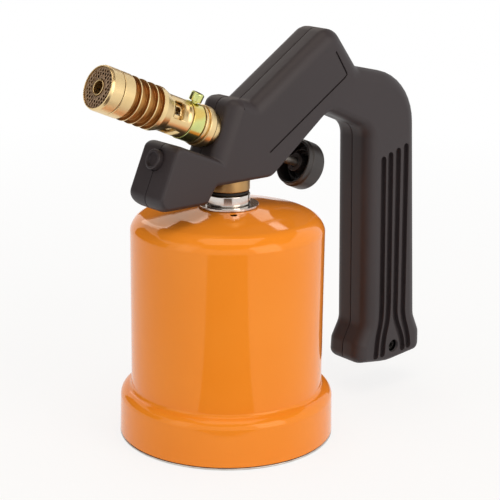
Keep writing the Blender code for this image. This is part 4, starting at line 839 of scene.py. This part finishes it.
def screw_frame(place, side):
    """A frame at a point of the middle plane, with Z out of the named side."""
    return (
        Matrix.Translation((place[0] * MM, 0, place[1] * MM))
        @ Matrix.Rotation(-side * math.pi / 2, 4, "X"))


for name, side in (("case_left", -1), ("case_right", 1)):
    half = finished(name + "_moulded", half_case(side), nylon, "head", "charcoal_plastic", name,
                    crisp=50)
    for radius, low, high, place in CASE_BORES:
        opening = bmesh.new()
        bore(opening, radius, low, high, place)
        cut_away(half, opening)
    lines = [
        ([Vector(line[0])] + softened([Vector(point) for point in line[1:]]), GROOVE_WIDTH,
         GROOVE_DEPTH)
        for line in GRIP_GROOVES]
    lines.append(([Vector(point) for point in PANEL_LINE], LINE_WIDTH, LINE_DEPTH))
    for line, width, depth in lines:
        flute = bmesh.new()
        groove(flute, line, width, depth, side)
        bmesh.ops.recalc_face_normals(flute, faces=flute.faces)
        cut_away(half, flute)
    for _, spot, head_side in CASE_SCREWS:
        if head_side == side:
            for radius, low, high in SCREW_BORES:
                pocket = bmesh.new()
                bore(pocket, radius, low, high, screw_frame(spot, side), 40)
                cut_away(half, pocket)

# Nose plug
# A round blanking plug with a dished face, moulded in the case's nylon. It closes the round opening
# in the nose, and the two halves hold it.
plug_corners = (
    (0, -4.3, 0),
    (5.0, -4.3, 0.3),
    (5.0, 2.8, 0.8),
    (3.6, 2.8, 0.4),
    (3.2, 1.6, 0.3),
    (0, 1.6, 0),
)
finished("nose_plug_moulded", spun(plug_corners, 72, PLUG_FRAME, closed=False), nylon, "head",
         "charcoal_plastic", "nose_plug")

# Case screws
# Pan-head thread-forming screws, phosphated black, with a cross recess. They are sunk in round
# pockets, one from the left and two from the right.

# Black phosphate on steel: dark grey and dull, with a fine crystal grain
phosphate, shader = new_finish("black phosphated steel", Metallic=0.7, Roughness=0.5)
place = add_node(phosphate, "TexCoord").outputs["Object"]
grain = add_node(phosphate, "TexNoise", {"Vector": place, "Scale": 2500.0, "Detail": 2.0})
feed(phosphate, shader, Base_Color=blended(phosphate, grain.outputs["Fac"], "#1F1D1C", "#3A3735"))
screw_profile = (
    (0, -7.2, 0),
    (0.9, -7.2, 0.2),
    (1.5, -5.9, 0),
    (1.5, 8.8, 0),
    (3.2, 8.8, 0.2),
    (3.2, 10.5, 1.1),
    (0, 11.2, 0),
)
RECESS_SIZE = Matrix.Diagonal((3.4 * MM, 0.75 * MM, 2.2 * MM, 1))
RECESS_PLACE = Matrix.Translation((0, 0, 10.9 * MM))
RECESS_TURN = 0.5
for name, spot, side in CASE_SCREWS:
    seat = screw_frame(spot, side)
    screw = finished(name + "_phosphated", spun(screw_profile, 48, seat, closed=False), phosphate,
                     "head", "galvanised_steel", name)
    recess = bmesh.new()
    for turn in (RECESS_TURN, RECESS_TURN + math.pi / 2):
        blade = seat @ Matrix.Rotation(turn, 4, "Z") @ RECESS_PLACE @ RECESS_SIZE
        bmesh.ops.create_cube(recess, size=1, matrix=blade)
    cut_away(screw, recess, crossing=True)

# Valve spindle and knob
# A ground steel spindle with a cone that meets the valve's seat, and a moulded phenolic knob pressed
# on it: an open cup with a hub and a ring inside.
spindle_corners = (
    (0, -4.3, 0),
    (0.5, -4.3, 0.2),
    (2.2, -6.9, 0.3),
    (2.2, -53.8, 0.3),
    (0, -53.8, 0),
)
finished("valve_spindle_ground", spun(spindle_corners, 48, BURNER_FRAME, closed=False), zinc_steel,
         "spindle", "galvanised_steel", "valve_spindle")

# Phenolic: near black, smoother than the case
phenolic, shader = new_finish("black phenolic", Roughness=0.4)
place = add_node(phenolic, "TexCoord").outputs["Object"]
grain = add_node(phenolic, "TexNoise", {"Vector": place, "Scale": 1500.0, "Detail": 2.0})
skin = add_node(
    phenolic, "Bump", {"Strength": 0.15, "Distance": 0.05 * MM, "Height": grain.outputs["Fac"]})
feed(phenolic, shader, Base_Color=blended(phenolic, grain.outputs["Fac"], "#2A2625", "#332E2D"),
     Normal=skin.outputs["Normal"])
knob_corners = (
    (0, -57.4, 0),
    (12.4, -57.4, 3.0),
    (12.4, -48.3, 0.5),
    (11.8, -47.6, 0.5),
    (11.6, -45.4, 0.5),
    (10.6, -45.4, 0.4),
    (10.4, -53.8, 0.8),
    (8.4, -53.8, 0.3),
    (8.4, -50.5, 0.4),
    (7.2, -50.5, 0.4),
    (7.2, -53.8, 0.3),
    (4.8, -53.8, 0.6),
    (4.8, -46.6, 0.5),
    (2.6, -46.6, 0.2),
    (2.6, -53.6, 0),
    (0, -54.1, 0),
)
finished("knob_moulded", spun(knob_corners, 128, BURNER_FRAME, closed=False), phenolic, "knob",
         "charcoal_plastic", "knob")

# Floor, light and camera
# A white paper sweep under a soft overhead light, three soft boxes, and brown cards that the enamel
# and the metal mirror. The camera is the one that was fitted to the photograph.


def seen_directly(material):
    """One for what the camera, a gloss or a glass sees, and nothing for what lights the torch."""
    path = add_node(material, "LightPath")
    either = add_node(
        material, "Math", {0: path.outputs["Is Camera Ray"], 1: path.outputs["Is Glossy Ray"]},
        operation="ADD")
    any_of_them = add_node(
        material, "Math", {0: either.outputs["Value"], 1: path.outputs["Is Transmission Ray"]},
        operation="ADD", use_clamp=True)
    return any_of_them.outputs["Value"]


# Paper: matt and near white. It shows pure white far off, and keeps the torch's shadow near it.
floor_shape = bmesh.new()
bmesh.ops.create_grid(floor_shape, x_segments=1, y_segments=1, size=6)
bmesh.ops.translate(floor_shape, verts=floor_shape.verts, vec=(0, 0, -0.2 * MM))
floor = placed("floor", floor_shape)
paper, shader = new_finish("white paper sweep", Roughness=0.9, Base_Color=linear("#F4F3F1"))
glow = add_node(paper, "Emission", {"Color": (1, 1, 1, 1), "Strength": 1.0})
place = add_node(paper, "TexCoord").outputs["Object"]
reach = add_node(paper, "VectorMath", {0: place}, operation="LENGTH")
spread = add_node(
    paper, "MapRange",
    {"Value": reach.outputs["Value"], "From Min": 0.15, "From Max": 0.8, "To Min": 0.8,
     "To Max": 1.0})
share = add_node(
    paper, "Math", {0: seen_directly(paper), 1: spread.outputs["Result"]}, operation="MULTIPLY")
mix = add_node(
    paper, "MixShader",
    {0: share.outputs["Value"], 1: shader.outputs["BSDF"], 2: glow.outputs["Emission"]})
output = paper.node_tree.nodes["Material Output"]
paper.node_tree.links.new(mix.outputs["Shader"], output.inputs["Surface"])
floor.data.materials.append(paper)

# The room: white where it is seen, and half of that as light on the torch
world = bpy.data.worlds.new("studio")
bpy.context.scene.world = world
world.use_nodes = True
sky = world.node_tree.nodes["Background"]
level = add_node(world, "MapRange", {"Value": seen_directly(world), "To Min": 0.5, "To Max": 1.0})
world.node_tree.links.new(level.outputs["Result"], sky.inputs["Strength"])
sky.inputs["Color"].default_value = (1, 1, 1, 1)

# Name, place, width and height in metres, and power in watts
LAMPS = (
    ("overhead", (-0.1, -0.15, 1.2), 0.9, 0.9, 4.6),
    ("left_box", (-0.9, -0.02, 0.5), 0.35, 0.9, 0.8),
    ("right_box", (0.16, -0.98, 0.5), 0.6, 0.9, 3.8),
    ("back_box", (0.5, 0.9, 0.75), 0.8, 0.5, 1.6),
)
LAMP_COLOUR = linear("#FFF4E6")[:3]
TARGET = Vector((0.01, 0, 0.1))
for name, spot, width, height, power in LAMPS:
    data = bpy.data.lights.new(name, "AREA")
    data.shape = "RECTANGLE"
    data.size = width
    data.size_y = height
    data.energy = power
    data.color = LAMP_COLOUR
    lamp = bpy.data.objects.new(name, data)
    bpy.context.scene.collection.objects.link(lamp)
    lamp.location = spot
    lamp.rotation_euler = (Vector(spot) - TARGET).to_track_quat("Z", "Y").to_euler()

# Brown cards, seen only in gloss, as flags are set for a product shot: a wedge on the floor toward
# the camera, one standing behind the torch, one behind it on the left, and one overhead. Each has
# its heading in degrees, and its corners in metres ahead, across and up.
card_paper, shader = new_finish("brown card", Roughness=0.9, Base_Color=linear("#4A3222"))
CARDS = (
    ("floor_card", -129,
     ((0.1, -0.05, 0.0004), (0.1, 0.05, 0.0004), (0.9, 0.34, 0.0004), (0.9, -0.34, 0.0004))),
    ("back_card", 51, ((1.4, -0.4, 0.1), (1.4, 0.4, 0.1), (1.4, 0.4, 0.9), (1.4, -0.4, 0.9))),
    ("side_card", 126, ((1.2, -0.75, 0.08), (1.2, 0.75, 0.08), (1.2, 0.75, 0.8), (1.2, -0.75, 0.8))),
    ("ceiling_card", 0, ((-1.8, -1.8, 1.7), (-1.8, 1.8, 1.7), (1.8, 1.8, 1.7), (1.8, -1.8, 1.7))),
)
for name, heading, corners in CARDS:
    turn = Matrix.Rotation(math.radians(heading), 4, "Z")
    card_shape = bmesh.new()
    card_shape.faces.new([card_shape.verts.new(turn @ Vector(corner)) for corner in corners])
    card = placed(name, card_shape)
    card.data.materials.append(card_paper)
    card.visible_camera = False
    card.visible_diffuse = False
    card.visible_shadow = False

CAMERA_PLACE = (-0.434587, -0.535226, 0.2916)
CAMERA_TURN = math.radians(-40.0)
CAMERA_PITCH = math.radians(15.982)
CAMERA_ROLL = math.radians(0.716)
lens = bpy.data.cameras.new("photo_view")
lens.sensor_width = 36.0
lens.lens = 104.4
camera = bpy.data.objects.new("photo_view", lens)
bpy.context.scene.collection.objects.link(camera)
camera.matrix_world = (
    Matrix.Translation(CAMERA_PLACE) @ Matrix.Rotation(CAMERA_TURN, 4, "Z")
    @ Matrix.Rotation(math.pi / 2 - CAMERA_PITCH, 4, "X") @ Matrix.Rotation(CAMERA_ROLL, 4, "Z"))
bpy.context.scene.camera = camera
bpy.context.scene.view_settings.view_transform = "Standard"
